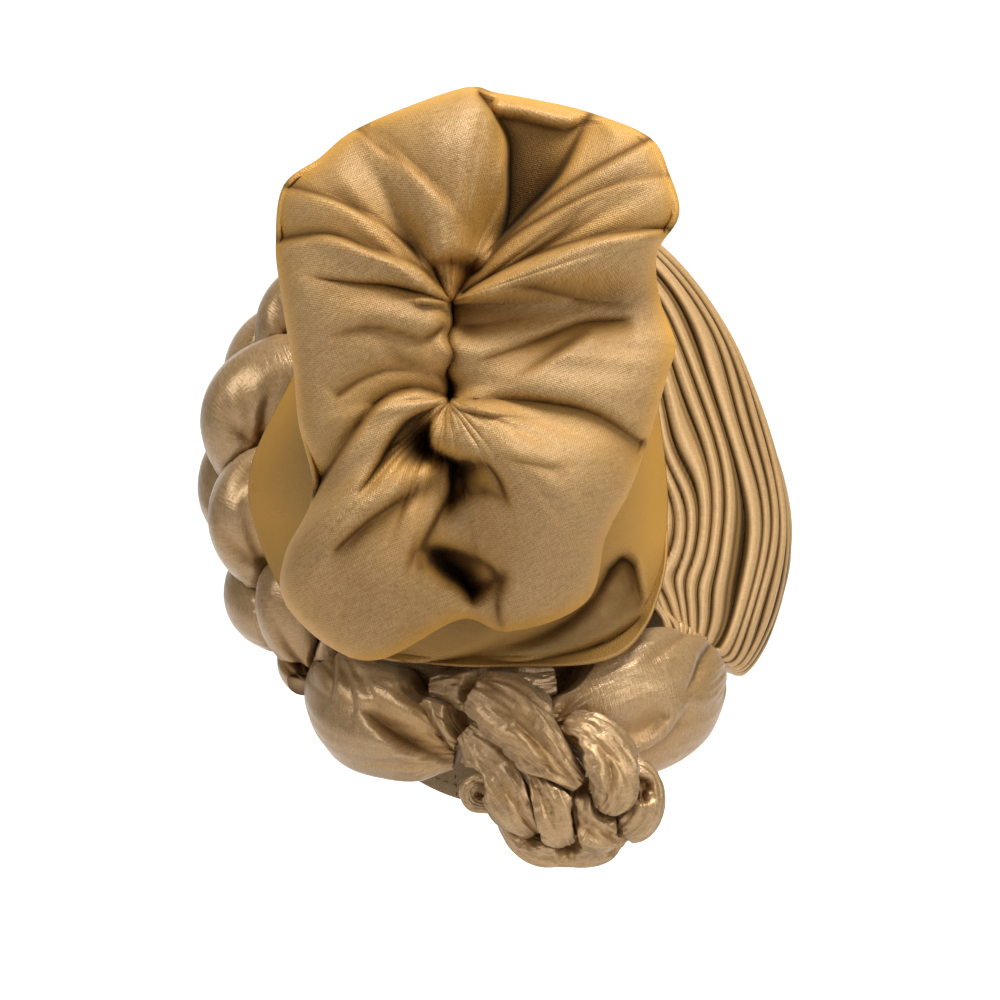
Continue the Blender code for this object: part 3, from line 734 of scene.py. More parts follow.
def padded_tube(name, lines, sides, creases):
    """Grid round a padded tube, flattened where it meets the head or a neighbour, and the creases on it."""
    line, tall, thick = lines[name]
    along, off = tube_frame(line)
    angle = np.arange(sides) * 2 * math.pi / sides
    spoke = along[:, None] * (tall[:, None] * np.cos(angle))[..., None]
    spoke = spoke + off[:, None] * (thick[:, None] * np.sin(angle))[..., None]
    reach = np.linalg.norm(spoke, axis=2)
    ray = spoke / reach[..., None]
    free = reach.copy()
    size = np.sqrt(tall * thick)
    for other, (other_line, other_tall, other_thick) in lines.items():
        if other == name:
            continue
        every = max(1, len(other_line) // TUBE_SAMPLES)
        other_size = np.sqrt(other_tall * other_thick)[::every]
        step = other_line[::every][None] - line[:, None]
        apart = np.linalg.norm(step, axis=2)
        share = size[:, None] / (size[:, None] + other_size[None])
        limit = apart * share - TUBE_GAP
        facing = np.einsum("isc,ijc->isj", ray, step / apart[..., None])
        allowed = np.where(facing > TUBE_FACING, limit[:, None] / np.clip(facing, TUBE_FACING, None), np.inf)
        reach = np.minimum(reach, np.clip(allowed.min(axis=2), TUBE_LEAST, None))
    for _ in range(PRESS_STEPS):
        point = line[:, None] + ray * reach[..., None]
        reach = np.where(inside_head(point, CARRIED_OFF), reach * PRESS_SHARE, reach)
    pressed = 1 - reach / free
    reach = reach - creases(angle, pressed, free)
    return line[:, None] + ray * np.clip(reach, TUBE_CREASED_LEAST, None)[..., None], pressed


def fold(x, z, row):
    """One fold seen from behind: how far it sinks the cloth, its upper edge, its crease and what it covers."""
    named = dict(zip(FOLD_COLUMNS, row))
    points = spline([(named[f"x{i}"], named[f"z{i}"]) for i in range(5)], FOLD_POINTS) * MM
    round_off, reach = named["round"] * MM, named["reach"] * MM
    start, run = points[:-1], np.diff(points, axis=0)
    px, pz = x.ravel()[:, None] - start[:, 0], z.ravel()[:, None] - start[:, 1]
    free = (px * run[:, 0] + pz * run[:, 1]) / (run ** 2).sum(axis=1)
    part = np.clip(free, 0, 1)
    apart = np.hypot(px - part * run[:, 0], pz - part * run[:, 1])
    nearest = apart.argmin(axis=1)
    pick = (np.arange(len(apart)), nearest)
    apart = apart[pick].reshape(x.shape)
    over = (run[nearest, 0] * pz[pick] - run[nearest, 1] * px[pick]).reshape(x.shape) * named["over"] > 0
    share = ((nearest + part[pick]) / len(run)).reshape(x.shape)
    drop = named["drop_start"] * (1 - share) * (1 - 2 * share) + 4 * named["drop_middle"] * share * (1 - share)
    drop = np.clip((drop + named["drop_end"] * share * (2 * share - 1)) * MM, 0, None)
    upper = 1 - np.sqrt(1 - np.clip(1 - apart / round_off, 0, 1) ** 2)
    lower = np.exp(-(apart / reach) ** named["flatness"])
    length = np.hypot(run[:, 0], run[:, 1])
    past = np.where(nearest == 0, -free[pick] * length[0], (free[pick] - 1) * length[-1])
    past = np.where((nearest == 0) | (nearest == len(run) - 1), past, 0).clip(0, None).reshape(x.shape)
    drop = drop * np.exp(-(past / FOLD_END) ** 2)
    sunk = drop * np.where(over, upper, lower)
    strength = np.clip(drop / FOLD_FULL, 0, 1)
    # The upper edge marks a painted highlight, and the crease a painted shade, with a painted shadow falling on the
    # low side.
    edge = strength * np.where(over, np.exp(-apart / EDGE_REACH), 0)
    shadow = (1 - SHADOW_SOFT) * np.exp(-apart / SHADOW_REACH) + SHADOW_SOFT * np.exp(-apart / (SHADOW_SOFT * reach))
    crease = strength * np.where(over, np.exp(-apart / CREASE_REACH), shadow)
    cover = strength * np.where(over, np.exp(-(apart / reach) ** 2), 0)
    return sunk, edge, crease, cover


def folds(x, z, rows):
    """All folds of a piece together, each laid over those before it: sink, upper edges and creases."""
    sunk, edge, crease = np.zeros(x.shape), np.zeros(x.shape), np.zeros(x.shape)
    for row in rows:
        one, its_edge, its_crease, cover = fold(x, z, row)
        sunk = np.cbrt((sunk * (1 - cover)) ** 3 + one ** 3)
        edge = np.maximum(edge * (1 - cover), its_edge)
        crease = np.maximum(crease * (1 - cover), its_crease)
    return sunk, edge * (1 - crease), crease


def eased(values, share=0.5):
    """Values on a grid round a piece, with each drawn a share of the way to the mean of its neighbours."""
    found = values.copy()
    for axis in (0, 1):
        before, after = np.roll(found, 1, axis), np.roll(found, -1, axis)
        if axis == 0:
            before[0], after[-1] = found[0], found[-1]
        found = (1 - share) * found + share / 2 * (before + after)
    return found


def creased(grid, pressed, rows):
    """Sink folds into the rear side of a tube, and give its grid and its marks of painted golden light and painted
    shade.
    """
    sunk, edge, crease = folds(grid[..., 0], grid[..., 2], rows)
    outward = grid - grid.mean(axis=1, keepdims=True)
    reach = np.linalg.norm(outward, axis=2)
    facing = np.clip(-outward[..., 1] / reach, 0, 1) ** 0.5
    depth = eased(np.minimum(sunk * facing, TUBE_DEEPEST * reach))
    crease = eased(crease)
    painted_gold_light = np.clip(np.clip(pressed, 0, GOLD_PRESSED) + depth / GOLD_DEPTH, 0, GOLD_MOST)
    # Painted shadow at both gathered ends of the tube.
    tips = np.exp(-np.minimum(np.arange(len(grid)), np.arange(len(grid))[::-1]) / TIP_RINGS)[:, None]
    shade = crease * facing * SHADE_CREASE + (depth - SHADE_FROM) / SHADE_DEPTH + SHADE_TIPS * tips
    shade = np.clip(shade, 0, SHADE_MOST)
    return grid - outward / reach[..., None] * depth[..., None], {"painted_gold_light": painted_gold_light, "shade": shade}


def tube_noise(angle, rings, around, along, **noise):
    """Seeded noise on a tube, with waves that run mostly along it."""
    ring = np.linspace(0, 1, rings)[:, None]
    round_it = np.stack([np.cos(angle), np.sin(angle)], axis=-1)[None] + np.zeros((rings, 1, 1))
    places = np.concatenate([round_it * around, (ring * along)[..., None] + np.zeros((1, len(angle), 1))], axis=-1)
    return waves(places, **noise)


def strand_creases(seed):
    """Lengthwise creases, deep where a strand is pressed and gone where it is full."""
    def creases(angle, pressed, free):
        sharp = creasing(tube_noise(angle, len(pressed), seed=seed, **STRAND_NOISE))
        near = np.clip(pressed * STRAND_NEAR, 0, 1)
        for _ in range(STRAND_EASINGS):
            near = eased(near)
        depth = STRAND_CREASE[0] + STRAND_CREASE[1] * near
        return free * depth * sharp * (STRAND_CREASE_NEAR + near) * STRAND_CREASE_SHARE
    return creases


def stuffed(name, sides, creases, rows):
    """A padded tube of the rolls' satin, pressed, creased and folded."""
    grid, pressed = padded_tube(name, lines, sides, creases)
    grid, marks = creased(grid, pressed, rows)
    tube = lofted(name, grid, roll_satin, around=True, ends=True, marks=marks)
    face_out(tube)
    return tube


fine = spline(BRAID_TABLE, STRAND_RINGS)
braid = columns(BRAID_COLUMNS, fine)
middle = fine[:, :3] * MM
along, off = tube_frame(middle)
length = np.concatenate([[0], np.cumsum(np.linalg.norm(np.diff(middle, axis=0), axis=1))])
lines = {}
for order, name in enumerate(STRANDS):
    angle = 2 * math.pi * (length / STRAND_TURN + STRAND_PHASE + order / 3)
    swing = along * (braid["swing_along"] * MM * np.sin(angle))[:, None]
    lift = off * (braid["swing_off"] * MM * np.sin(2 * angle))[:, None]
    lines[name] = (middle + swing + lift, braid["radius"] * MM, braid["radius"] * MM)
roll_satin = woven(
    "roll_satin", face=(0.46, 0.300, 0.147), shade=(0.28, 0.155, 0.050), painted_gold_light=(0.46, 0.225, 0.040),
    dark=(0.09, 0.040, 0.007), roughness=0.36, metal=0.4, weave=0.12 * MM, thread=0.5 * MM, slub=1.2,
    sheen=0.25, sheen_colour=(1.0, 0.95, 0.88), gloss=0.9, plain=0.06,
)
for order, name in enumerate(STRANDS):
    strand = stuffed(name, STRAND_SIDES, strand_creases(STRAND_SEED + order), STRAND_FOLDS)
    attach(strand, "root")
    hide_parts(name)

# Nape rolls
# Two lightly padded sleeves of satin lie round the nape, gathered small at both ends.
# The left one runs on from the braid and the right one from the fan; both end in the knot.
ROLL_RINGS = 160
ROLL_SIDES = 140
ROLL_CREASE = 0.22
ROLL_SEED = 40
ROLL_NOISE = {"around": 1.6, "along": 0.8}
ROLL_GATHERS = {"count": 10, "reach": 0.5}
ROLL_SWELLS = {"count": 6, "reach": 1.6}
ROLL_SWELL_SEED = 50
ROLL_SWELL = 0.03
ROLL_END_REACH = 0.16
TUBE_COLUMNS = ("x", "y", "z", "half_height", "half_thickness")
ROLLS = {
    "nape_roll_left": (
        (-83, -52, -18, 7, 5),
        (-79, -63, -27, 19, 11),
        (-66, -82, -34, 26, 16),
        (-47, -98, -37, 26, 18),
        (-30, -108, -40, 22, 16),
        (-17, -113, -44, 12, 9),
    ),
    "nape_roll_right": (
        (98, -62, -18, 8, 7),
        (93, -68, -20, 21, 13),
        (80, -79, -25, 30, 20),
        (60, -94, -29, 33, 22),
        (41, -106, -33, 29, 19),
        (26, -113, -36, 19, 13),
        (15, -116, -37, 9, 7),
    ),
}
# The rolls are pressed against the knot's tubes, so those are listed here too.
KNOT_RINGS = 90
KNOT = {
    "under_band": (
        (-30, -104, -21, 5, 4),
        (-14, -110, -20, 10, 8),
        (6, -112, -19, 10, 8),
        (24, -109, -17, 7, 5),
    ),
    "knot_band": (
        (-9, -120, -20, 10, 8),
        (3, -128, -28, 15, 8),
        (15, -133, -38, 14, 9),
        (25, -134, -49, 10, 8),
        (34, -132, -57, 5, 5),
    ),
    "knot_upper_loop": (
        (29, -127, -33, 6, 5),
        (38, -132, -38, 11, 7),
        (46, -135, -48, 13, 8),
        (49, -135, -60, 11, 8),
        (45, -132, -68, 5, 5),
    ),
    "knot_side_loop": (
        (51, -122, -54, 6, 5),
        (59, -125, -57, 8, 8),
        (61, -126, -66, 9, 9),
        (58, -126, -75, 9, 8),
        (52, -125, -81, 5, 5),
    ),
    "knot_leaf_left": (
        (-14, -118, -36, 7, 5),
        (-5, -121, -45, 13, 7),
        (3, -127, -57, 13, 8),
        (9, -130, -69, 11, 8),
        (15, -127, -80, 5, 4),
    ),
    "knot_leaf_middle": (
        (15, -126, -52, 6, 5),
        (20, -131, -61, 11, 9),
        (25, -131, -74, 13, 9),
        (29, -127, -84, 5, 4),
    ),
    "knot_leaf_right": (
        (33, -124, -58, 9, 7),
        (35, -129, -70, 14, 9),
        (43, -129, -78, 12, 8),
        (51, -126, -83, 5, 4),
    ),
    "knot_lower_loop": (
        (1, -120, -69, 4, 4),
        (7, -122, -78, 7, 8),
        (16, -124, -85, 9, 8),
        (30, -123, -86, 10, 8),
        (43, -122, -85, 9, 8),
        (53, -120, -80, 5, 5),
    ),
    "knot_curl": (
        (-1, -121, -60, 3, 3),
        (-7, -123, -58, 4, 4),
        (-13, -122, -62, 4, 4),
        (-11, -121, -68, 4, 4),
        (-4, -121, -70, 3, 3),
    ),
}
ROLL_FOLDS = {
    "nape_roll_left": (
        (-72.5, -7, -65, -12, -58, -19, -53.5, -25.5, -50.5, -31.5, 1, 6, 3, 0, 2, 5, 1),
        (-73.5, -8, -68, -15.5, -65, -24.5, -64.5, -32.5, -66, -39.5, 1, 6, 3, 0, 2, 5, 1),
        (-74.5, -8.5, -74.5, -16.5, -75.5, -24.5, -78, -30.5, -80, -36, 1, 5, 3, 0, 2, 4, 1),
        (-60, -30, -53.5, -36.5, -44, -43.5, -33, -50, -18, -56, -1, 4, 7, 3, 4, 13, 2),
        (-43, -17.5, -34, -23, -29.5, -31, -25, -40, -18, -50.5, 1, 4, 6, 3, 2, 6, 1),
        (-66.5, -58.5, -57.5, -55, -46.5, -54.5, -34, -55, -18, -57, -1, 1, 3, 2, 2, 4, 1),
    ),
    "nape_roll_right": (
        (94.5, -2, 90, -7, 87.5, -13.5, 84, -19.5, 80, -25, -1, 6, 5, 0, 3, 7, 1),
        (87.5, 5, 81, 2.5, 73.5, -1, 65.5, -7, 58.5, -13.5, -1, 5, 3, 0, 3, 6, 1),
        (21, -39, 24.5, -31, 30.5, -24, 38.5, -18.5, 48, -15, -1, 5, 2, 0, 3, 7, 1),
        (23.5, -42, 30, -35.5, 38.5, -30, 48.5, -26.5, 58, -24, -1, 4, 2, 0, 3, 6, 1),
        (36.5, -42, 46.5, -46, 54.5, -46.5, 64, -43.5, 74.5, -33, -1, 3, 8, 5, 2, 13, 2),
        (36.5, -42.5, 47.5, -49.5, 60.5, -50, 74, -43.5, 85, -28.5, 1, 3, 5, 2, 3, 9, 1),
    ),
}


def tube_lines(tables, rings):
    """Centre lines and half sizes of tubes from their tables."""
    found = {}
    for name, rows in tables.items():
        fine = spline(rows, rings)
        table = columns(TUBE_COLUMNS, fine)
        found[name] = (fine[:, :3] * MM, table["half_height"] * MM, table["half_thickness"] * MM)
    return found


def roll_creases(seed, deep, along=0.0):
    """Gathers that fan out of both ends of a roll, and die away at its middle to a share of their depth."""
    def creases(angle, pressed, free):
        ring = np.linspace(0, 1, len(pressed))[:, None]
        end = np.exp(-ring / ROLL_END_REACH) + np.exp(-(1 - ring) / ROLL_END_REACH)
        sharp = creasing(tube_noise(angle, len(pressed), seed=seed, **ROLL_NOISE, **ROLL_GATHERS))
        soft = tube_noise(angle, len(pressed), seed=seed + ROLL_SWELL_SEED, **ROLL_NOISE, **ROLL_SWELLS)
        return free * (deep * sharp * np.clip(end + along, 0, 1) + ROLL_SWELL * soft)
    return creases


lines.update(tube_lines(ROLLS, ROLL_RINGS))
lines.update(tube_lines(KNOT, KNOT_RINGS))
for order, name in enumerate(ROLLS):
    roll = stuffed(name, ROLL_SIDES, roll_creases(ROLL_SEED + order, ROLL_CREASE), ROLL_FOLDS[name])
    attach(roll, "root")
    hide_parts(name)

# Knot
# The free ends of the rolls are twisted, wrapped round each other and tucked in at the nape.
# A broad band crosses over the top, and loops and leaf-shaped folds fan out below it.
KNOT_FULLNESS = 1.2
KNOT_SIDES = 72
KNOT_CREASE = 0.24
KNOT_CREASE_ALONG = 0.8
KNOT_SEED = 60
KNOT_FOLDS = {
    "under_band": (
        (-16.5, -20, -9, -15.5, 0, -14.5, 9, -16.5, 17.5, -20, 1, 2, 4, 2, 2, 5, 1),
    ),
    "knot_band": (
        (-9.5, -28, 0, -36, 8.5, -42, 15.5, -47.5, 21.5, -51, -1, 1, 3, 1, 2, 4, 1),
        (-4.5, -23.5, 5.5, -29, 14, -38.5, 18.5, -47.5, 22, -54.5, -1, 1, 5, 2, 3, 6, 1),
        (-17, -28, -5.5, -38, 6.5, -46, 19.5, -52.5, 31, -56, -1, 2, 3, 2.5, 1.5, 4, 1),
        (8, -17.5, 14, -26.5, 21, -38, 26, -46, 32, -55.5, 1, 2, 4, 2.5, 1.5, 4, 1),
    ),
    "knot_upper_loop": (
        (26, -37.5, 31.5, -37.5, 34, -43.5, 35.5, -50.5, 39, -57, 1, 4, 6, 4, 1.5, 7, 2),
        (39, -37.5, 45, -44, 47, -51, 46, -58, 43, -64.5, -1, 1, 4, 2, 3, 5, 1),
    ),
    "knot_side_loop": (
        (53, -57, 59, -55, 65.5, -56, 66.5, -60, 62, -64.5, 1, 3, 6, 5, 1.5, 8, 2),
        (52.5, -67, 57.5, -65, 62.5, -65.5, 66.5, -64.5, 68, -60.5, -1, 3, 4, 2, 1.5, 4, 1),
    ),
    "knot_leaf_left": (
        (-6, -50.5, 0, -58.5, 5, -65.5, 9.5, -71.5, 13, -78, -1, 1, 3, 1, 2, 4, 1),
        (0, -54.5, 5.5, -61, 10, -67.5, 13.5, -73.5, 16.5, -79.5, 1, 2, 3, 2, 1.5, 4, 1),
    ),
    "knot_leaf_middle": (
        (10.5, -57.5, 15.5, -65.5, 20, -71.5, 23.5, -77.5, 26, -82, -1, 1, 2.5, 1, 2, 4, 1),
        (14.5, -55.5, 20.5, -63, 24.5, -70, 27.5, -76.5, 29.5, -83.5, 1, 2, 3, 2, 1.5, 4, 1),
    ),
    "knot_leaf_right": (
        (27, -62.5, 33.5, -68, 40, -73.5, 46.5, -77.5, 52, -79.5, 1, 2, 4, 2, 1.5, 4, 1),
        (27.5, -68, 32, -74, 37.5, -79, 42.5, -82, 48, -84.5, -1, 1, 3, 1, 2, 4, 1),
    ),
    "knot_lower_loop": (
        (1.5, -74.5, 8.5, -79, 17.5, -81.5, 24, -84, 30.5, -87.5, -1, 3, 4, 3, 2, 6, 1),
        (7, -88, 14, -90.5, 21, -91.5, 29, -92, 37, -90, 1, 1, 3, 1, 2, 4, 1),
    ),
    "knot_curl": (
        (-11, -57, -8, -58.5, -6, -61, -7, -64, -9, -65, 1, 1, 3, 2, 1.5, 3, 1),
    ),
}

for name in KNOT:
    line, tall, thick = lines[name]
    lines[name] = (line, tall * KNOT_FULLNESS, thick * KNOT_FULLNESS)
for order, name in enumerate(KNOT):
    creases = roll_creases(KNOT_SEED + order, KNOT_CREASE, KNOT_CREASE_ALONG)
    twist = stuffed(name, KNOT_SIDES, creases, KNOT_FOLDS[name])
    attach(twist, "root")
    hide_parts(name)

# Back panel
# A smooth bowl of single taffeta stands behind the ruffle and closes the rear of the tie.
# Its foot flares out in a lip, and its edges are painted with a golden glow where light would pass through one layer.
PANEL_CENTRE = (-16 * MM, 118 * MM)
PANEL_REAR = 121 * MM
PANEL_BULGE = 2.4
PANEL_CLOTH = 1.2 * MM
PANEL_SPOKES = 280
PANEL_RINGS = 70
PANEL_CROWDED = 0.55
PANEL_INSIDE = (0, 0.5, 0.1)
PANEL_COLUMNS = ("edge_x", "edge_y", "edge_z", "lip")
PANEL_TABLE = (
    (76, -66, 59, 0),
    (71, -60, 110, 0),
    (68, -60, 150, 0),
    (34, -54, 176, 0),
    (-20, -51, 183, 0),
    (-68, -56, 166, 0),
    (-92, -66, 118, 0),
    (-112, -70, 76, 0),
    (-110, -73, 46, 0),
    (-89, -82, 12, 2),
    (-51, -107, -3, 5),
    (8, -115, -4, 8),
    (50, -107, 2, 11),
    (70, -84, 26, 6),
)
PANEL_FOOT = 52 * MM
PANEL_FOOT_HEIGHT = 30 * MM
PANEL_RAISED = 6 * MM
PANEL_DEEPEST = 8 * MM
PANEL_SOFTNESS = 0.8
# The painted golden glow grows towards the rim and fades at the foot; painted shade follows the dips and creases.
PANEL_GOLD = 0.9
PANEL_GOLD_FROM = 0.55
PANEL_GOLD_WIDTH = 0.35
PANEL_FOOT_GOLD = 0.55
PANEL_SHADE_CREASE = 0.3
PANEL_SHADE_FROM = 3 * MM
PANEL_SHADE_DEPTH = 16 * MM
PANEL_SHADE_MOST = 0.85
PANEL_FOLDS = (
    (41, 20.5, 45.5, 32, 53.5, 38.5, 60, 33, 63, 14, 1, 4, 7, 4, 2, 13, 2),
    (0, -2, 17.5, 3.5, 32.5, 12, 43.5, 23, 51.5, 32, -1, 6, 8, 3, 5, 8, 1.5),
    (-10.5, -5, 6.5, -6.5, 26, -3.5, 43.5, 2, 61, 10, 1, 4, 6, 6, 2, 7, 1),
    (-50, -7, -36, -7, -19, -5, -6, 0, -1.5, 4.5, 1, 5, 6, 4, 2, 7, 1),
)
LIP_RINGS = 8
LIP_SPREAD = 0.5
LIP_TURN = 0.8
LIP_TURN_LEAST = 1 * MM
LIP_ROUNDNESS = 1.3
# The lip's turned-up inside shows as a crescent of painted shade with a painted highlight streak: its place across,
# its top and its foot there.
LIP_COLUMNS = ("lip_x", "top", "foot")
LIP_TABLE = (
    (-12, -5, -5),
    (0, -2, -6),
    (17, 3, -5),
    (32, 12, -2),
    (43, 23, 2),
    (47, 34, 4),
    (54, 39, 6),
    (60, 34, 9),
    (64, 16, 14),
)
LIP_NOWHERE = -1
LIP_TOP_EDGE = 2 * MM
LIP_FOOT_EDGE = 5 * MM
# The lining's shade at its foot, and what it gains up to its top.
LIP_SHADE = (0.55, 0.6)
LIP_SHADE_SHARE = 0.5
LIP_HIGHLIGHT = 0.28
LIP_HIGHLIGHT_WIDTH = 0.17
LIP_SHINE_PATCH = 9 * MM
# The middle of the lining's shine, and how far it varies either way.
LIP_SHINE = (0.6, 0.4)

panel = columns(PANEL_COLUMNS, spline(PANEL_TABLE, PANEL_SPOKES, closed=True))
panel_edge = points_of(panel, "edge")
panel_middle = np.array([PANEL_CENTRE[0], -PANEL_REAR, PANEL_CENTRE[1]])
panel_outward = unit((panel_edge - panel_middle) * np.array([1, 0, 1]))
panel_rows = []
for share in np.linspace(0, 1, PANEL_RINGS) ** PANEL_CROWDED:
    ring = panel_middle + (panel_edge - panel_middle) * share
    ring[:, 1] = panel_edge[:, 1] + (panel_middle[1] - panel_edge[:, 1]) * (1 - share ** PANEL_BULGE)
    panel_rows.append(ring)
lip = panel["lip"][:, None] * MM
lip_turn = np.array([0, -1, 0]) * (lip * LIP_TURN + LIP_TURN_LEAST)
for share in np.linspace(0, 1, LIP_RINGS + 1)[1:]:
    panel_rows.append(panel_edge + (lip * (LIP_SPREAD * share) * panel_outward + lip_turn * share ** LIP_ROUNDNESS))
panel_grid = np.array(panel_rows)
dip, _, lip_crease = folds(panel_grid[..., 0], panel_grid[..., 2], PANEL_FOLDS)
dip, lip_crease = eased(dip, PANEL_SOFTNESS), eased(lip_crease, PANEL_SOFTNESS)
foot = np.clip((PANEL_FOOT - panel_grid[..., 2]) / PANEL_FOOT_HEIGHT, 0, 1)
panel_grid[..., 1] += np.minimum(dip, PANEL_DEEPEST) - PANEL_RAISED * foot * foot * (3 - 2 * foot)
ring_share = np.linalg.norm(panel_grid - panel_middle, axis=2) / np.linalg.norm(panel_edge - panel_middle, axis=1)
lining = columns(LIP_COLUMNS, np.array(LIP_TABLE) * MM)
top_here, foot_here = (
    np.interp(panel_grid[..., 0], lining["lip_x"], lining[line], left=LIP_NOWHERE, right=LIP_NOWHERE)
    for line in ("top", "foot")
)
below_top = np.clip((top_here - panel_grid[..., 2]) / LIP_TOP_EDGE, 0, 1)
above_foot = np.clip((panel_grid[..., 2] - foot_here) / LIP_FOOT_EDGE, 0, 1)
in_lip = eased(below_top * above_foot)
up_lip = np.clip((panel_grid[..., 2] - foot_here) / np.maximum(top_here - foot_here, 1 * MM), 0, 1)
shine = LIP_SHINE[0] + LIP_SHINE[1] * waves(panel_grid / LIP_SHINE_PATCH, count=10, reach=0.8, seed=31)
highlight_streak = hump(up_lip, 0.5, LIP_HIGHLIGHT_WIDTH) * shine
lip_painted_shade = in_lip * (LIP_SHADE_SHARE * (LIP_SHADE[0] + LIP_SHADE[1] * up_lip) - LIP_HIGHLIGHT * highlight_streak)
# Painted shade in the dips and creases, and inside the lip, growing up to its top and lighter along a painted
# highlight streak.
panel_shade = (dip - PANEL_SHADE_FROM) / PANEL_SHADE_DEPTH + lip_crease * PANEL_SHADE_CREASE + lip_painted_shade
panel_shade = np.clip(panel_shade, 0, PANEL_SHADE_MOST)
# Painted golden glow towards the rim, where light would pass through one layer; none inside the lip and less at the
# foot.
panel_painted_light = np.clip((ring_share - PANEL_GOLD_FROM) / PANEL_GOLD_WIDTH, 0, 1) * PANEL_GOLD
panel_painted_light = panel_painted_light * (1 - in_lip) * (1 - PANEL_FOOT_GOLD * foot)
single_taffeta = woven(
    "single_taffeta", face=(0.26, 0.150, 0.044), shade=(0.19, 0.110, 0.034), painted_gold_light=(0.42, 0.215, 0.036),
    dark=(0.12, 0.055, 0.010), roughness=0.55, metal=0.1, weave=0.20 * MM, thread=0.6 * MM, slub=0.3,
    sheen=0.0, sheen_colour=(1.0, 0.95, 0.85), gloss=0.3,
)
panel_marks = {"painted_gold_light": panel_painted_light, "shade": panel_shade}
panel_piece = lofted("back_panel", panel_grid, single_taffeta, around=True, marks=panel_marks)
face_out(panel_piece, PANEL_INSIDE)
thicken(panel_piece, PANEL_CLOTH)
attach(panel_piece, "root")
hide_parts("back_panel")

# Ruffle
# A long strip of shot taffeta is drawn in along a short upright seam, and puffs out all round it.
# Pressed folds run out of the two pinches at the seam's ends and open towards the rim.
SEAM_TOP = (-20.5 * MM, 150 * MM)
SEAM_FOOT = (-21.5 * MM, 110 * MM)
SEAM_REAR = 124 * MM
SEAM_RISE = 34 * MM
SEAM_WANDER = 1.6 * MM
SEAM_WANDERS = 5.5
SEAM_HALF_WIDTH = 0.5 * MM
RUFFLE_CLOTH = 1.0 * MM
RUFFLE_SPOKES = 600
RUFFLE_FRONT_STEPS = 6
RUFFLE_BACK_STEPS = 5
RUFFLE_MIDDLE = (-0.01, -0.14, 0.12)
RIM_COLUMNS = ("rim_x", "rim_y", "rim_z", "middle_y")
RIM_TABLE = (
    (65, -148, 171, -168),
    (74, -150, 187, -170),
    (70, -146, 204, -162),
    (62, -140, 219, -160),
    (37, -128, 230, -150),
    (16, -126, 235, -150),
    (-2, -130, 238, -160),
    (-14, -132, 240, -166),
    (-40, -138, 231, -168),
    (-62, -140, 221, -160),
    (-75, -146, 210, -168),
    (-90, -150, 198, -172),
    (-93, -150, 174, -168),
    (-91, -148, 154, -172),
    (-86, -148, 122, -170),
    (-84, -150, 100, -172),
    (-78, -152, 70, -174),
    (-90, -150, 44, -178),
    (-91, -146, 24, -180),
    (-73, -142, 5, -176),
    (-51, -142, -1, -172),
    (-17, -140, 16, -162),
    (4, -143, 11, -164),
    (36, -146, 24, -180),
    (44, -150, 52, -186),
    (54, -152, 72, -182),
    (62, -150, 94, -172),
    (69, -148, 118, -166),
    (73, -144, 133, -160),
    (67, -136, 151, -146),
)
HOOD_CENTRE = (-13 * MM, 98 * MM)
HOOD_REACH = (19 * MM, 14 * MM)
HOOD_REAR = 181 * MM
RUFFLE_CLEAR = 3.5 * MM
RUFFLE_GRAIN = math.radians(28)
RUFFLE_GRAIN_DEEP = 0.25
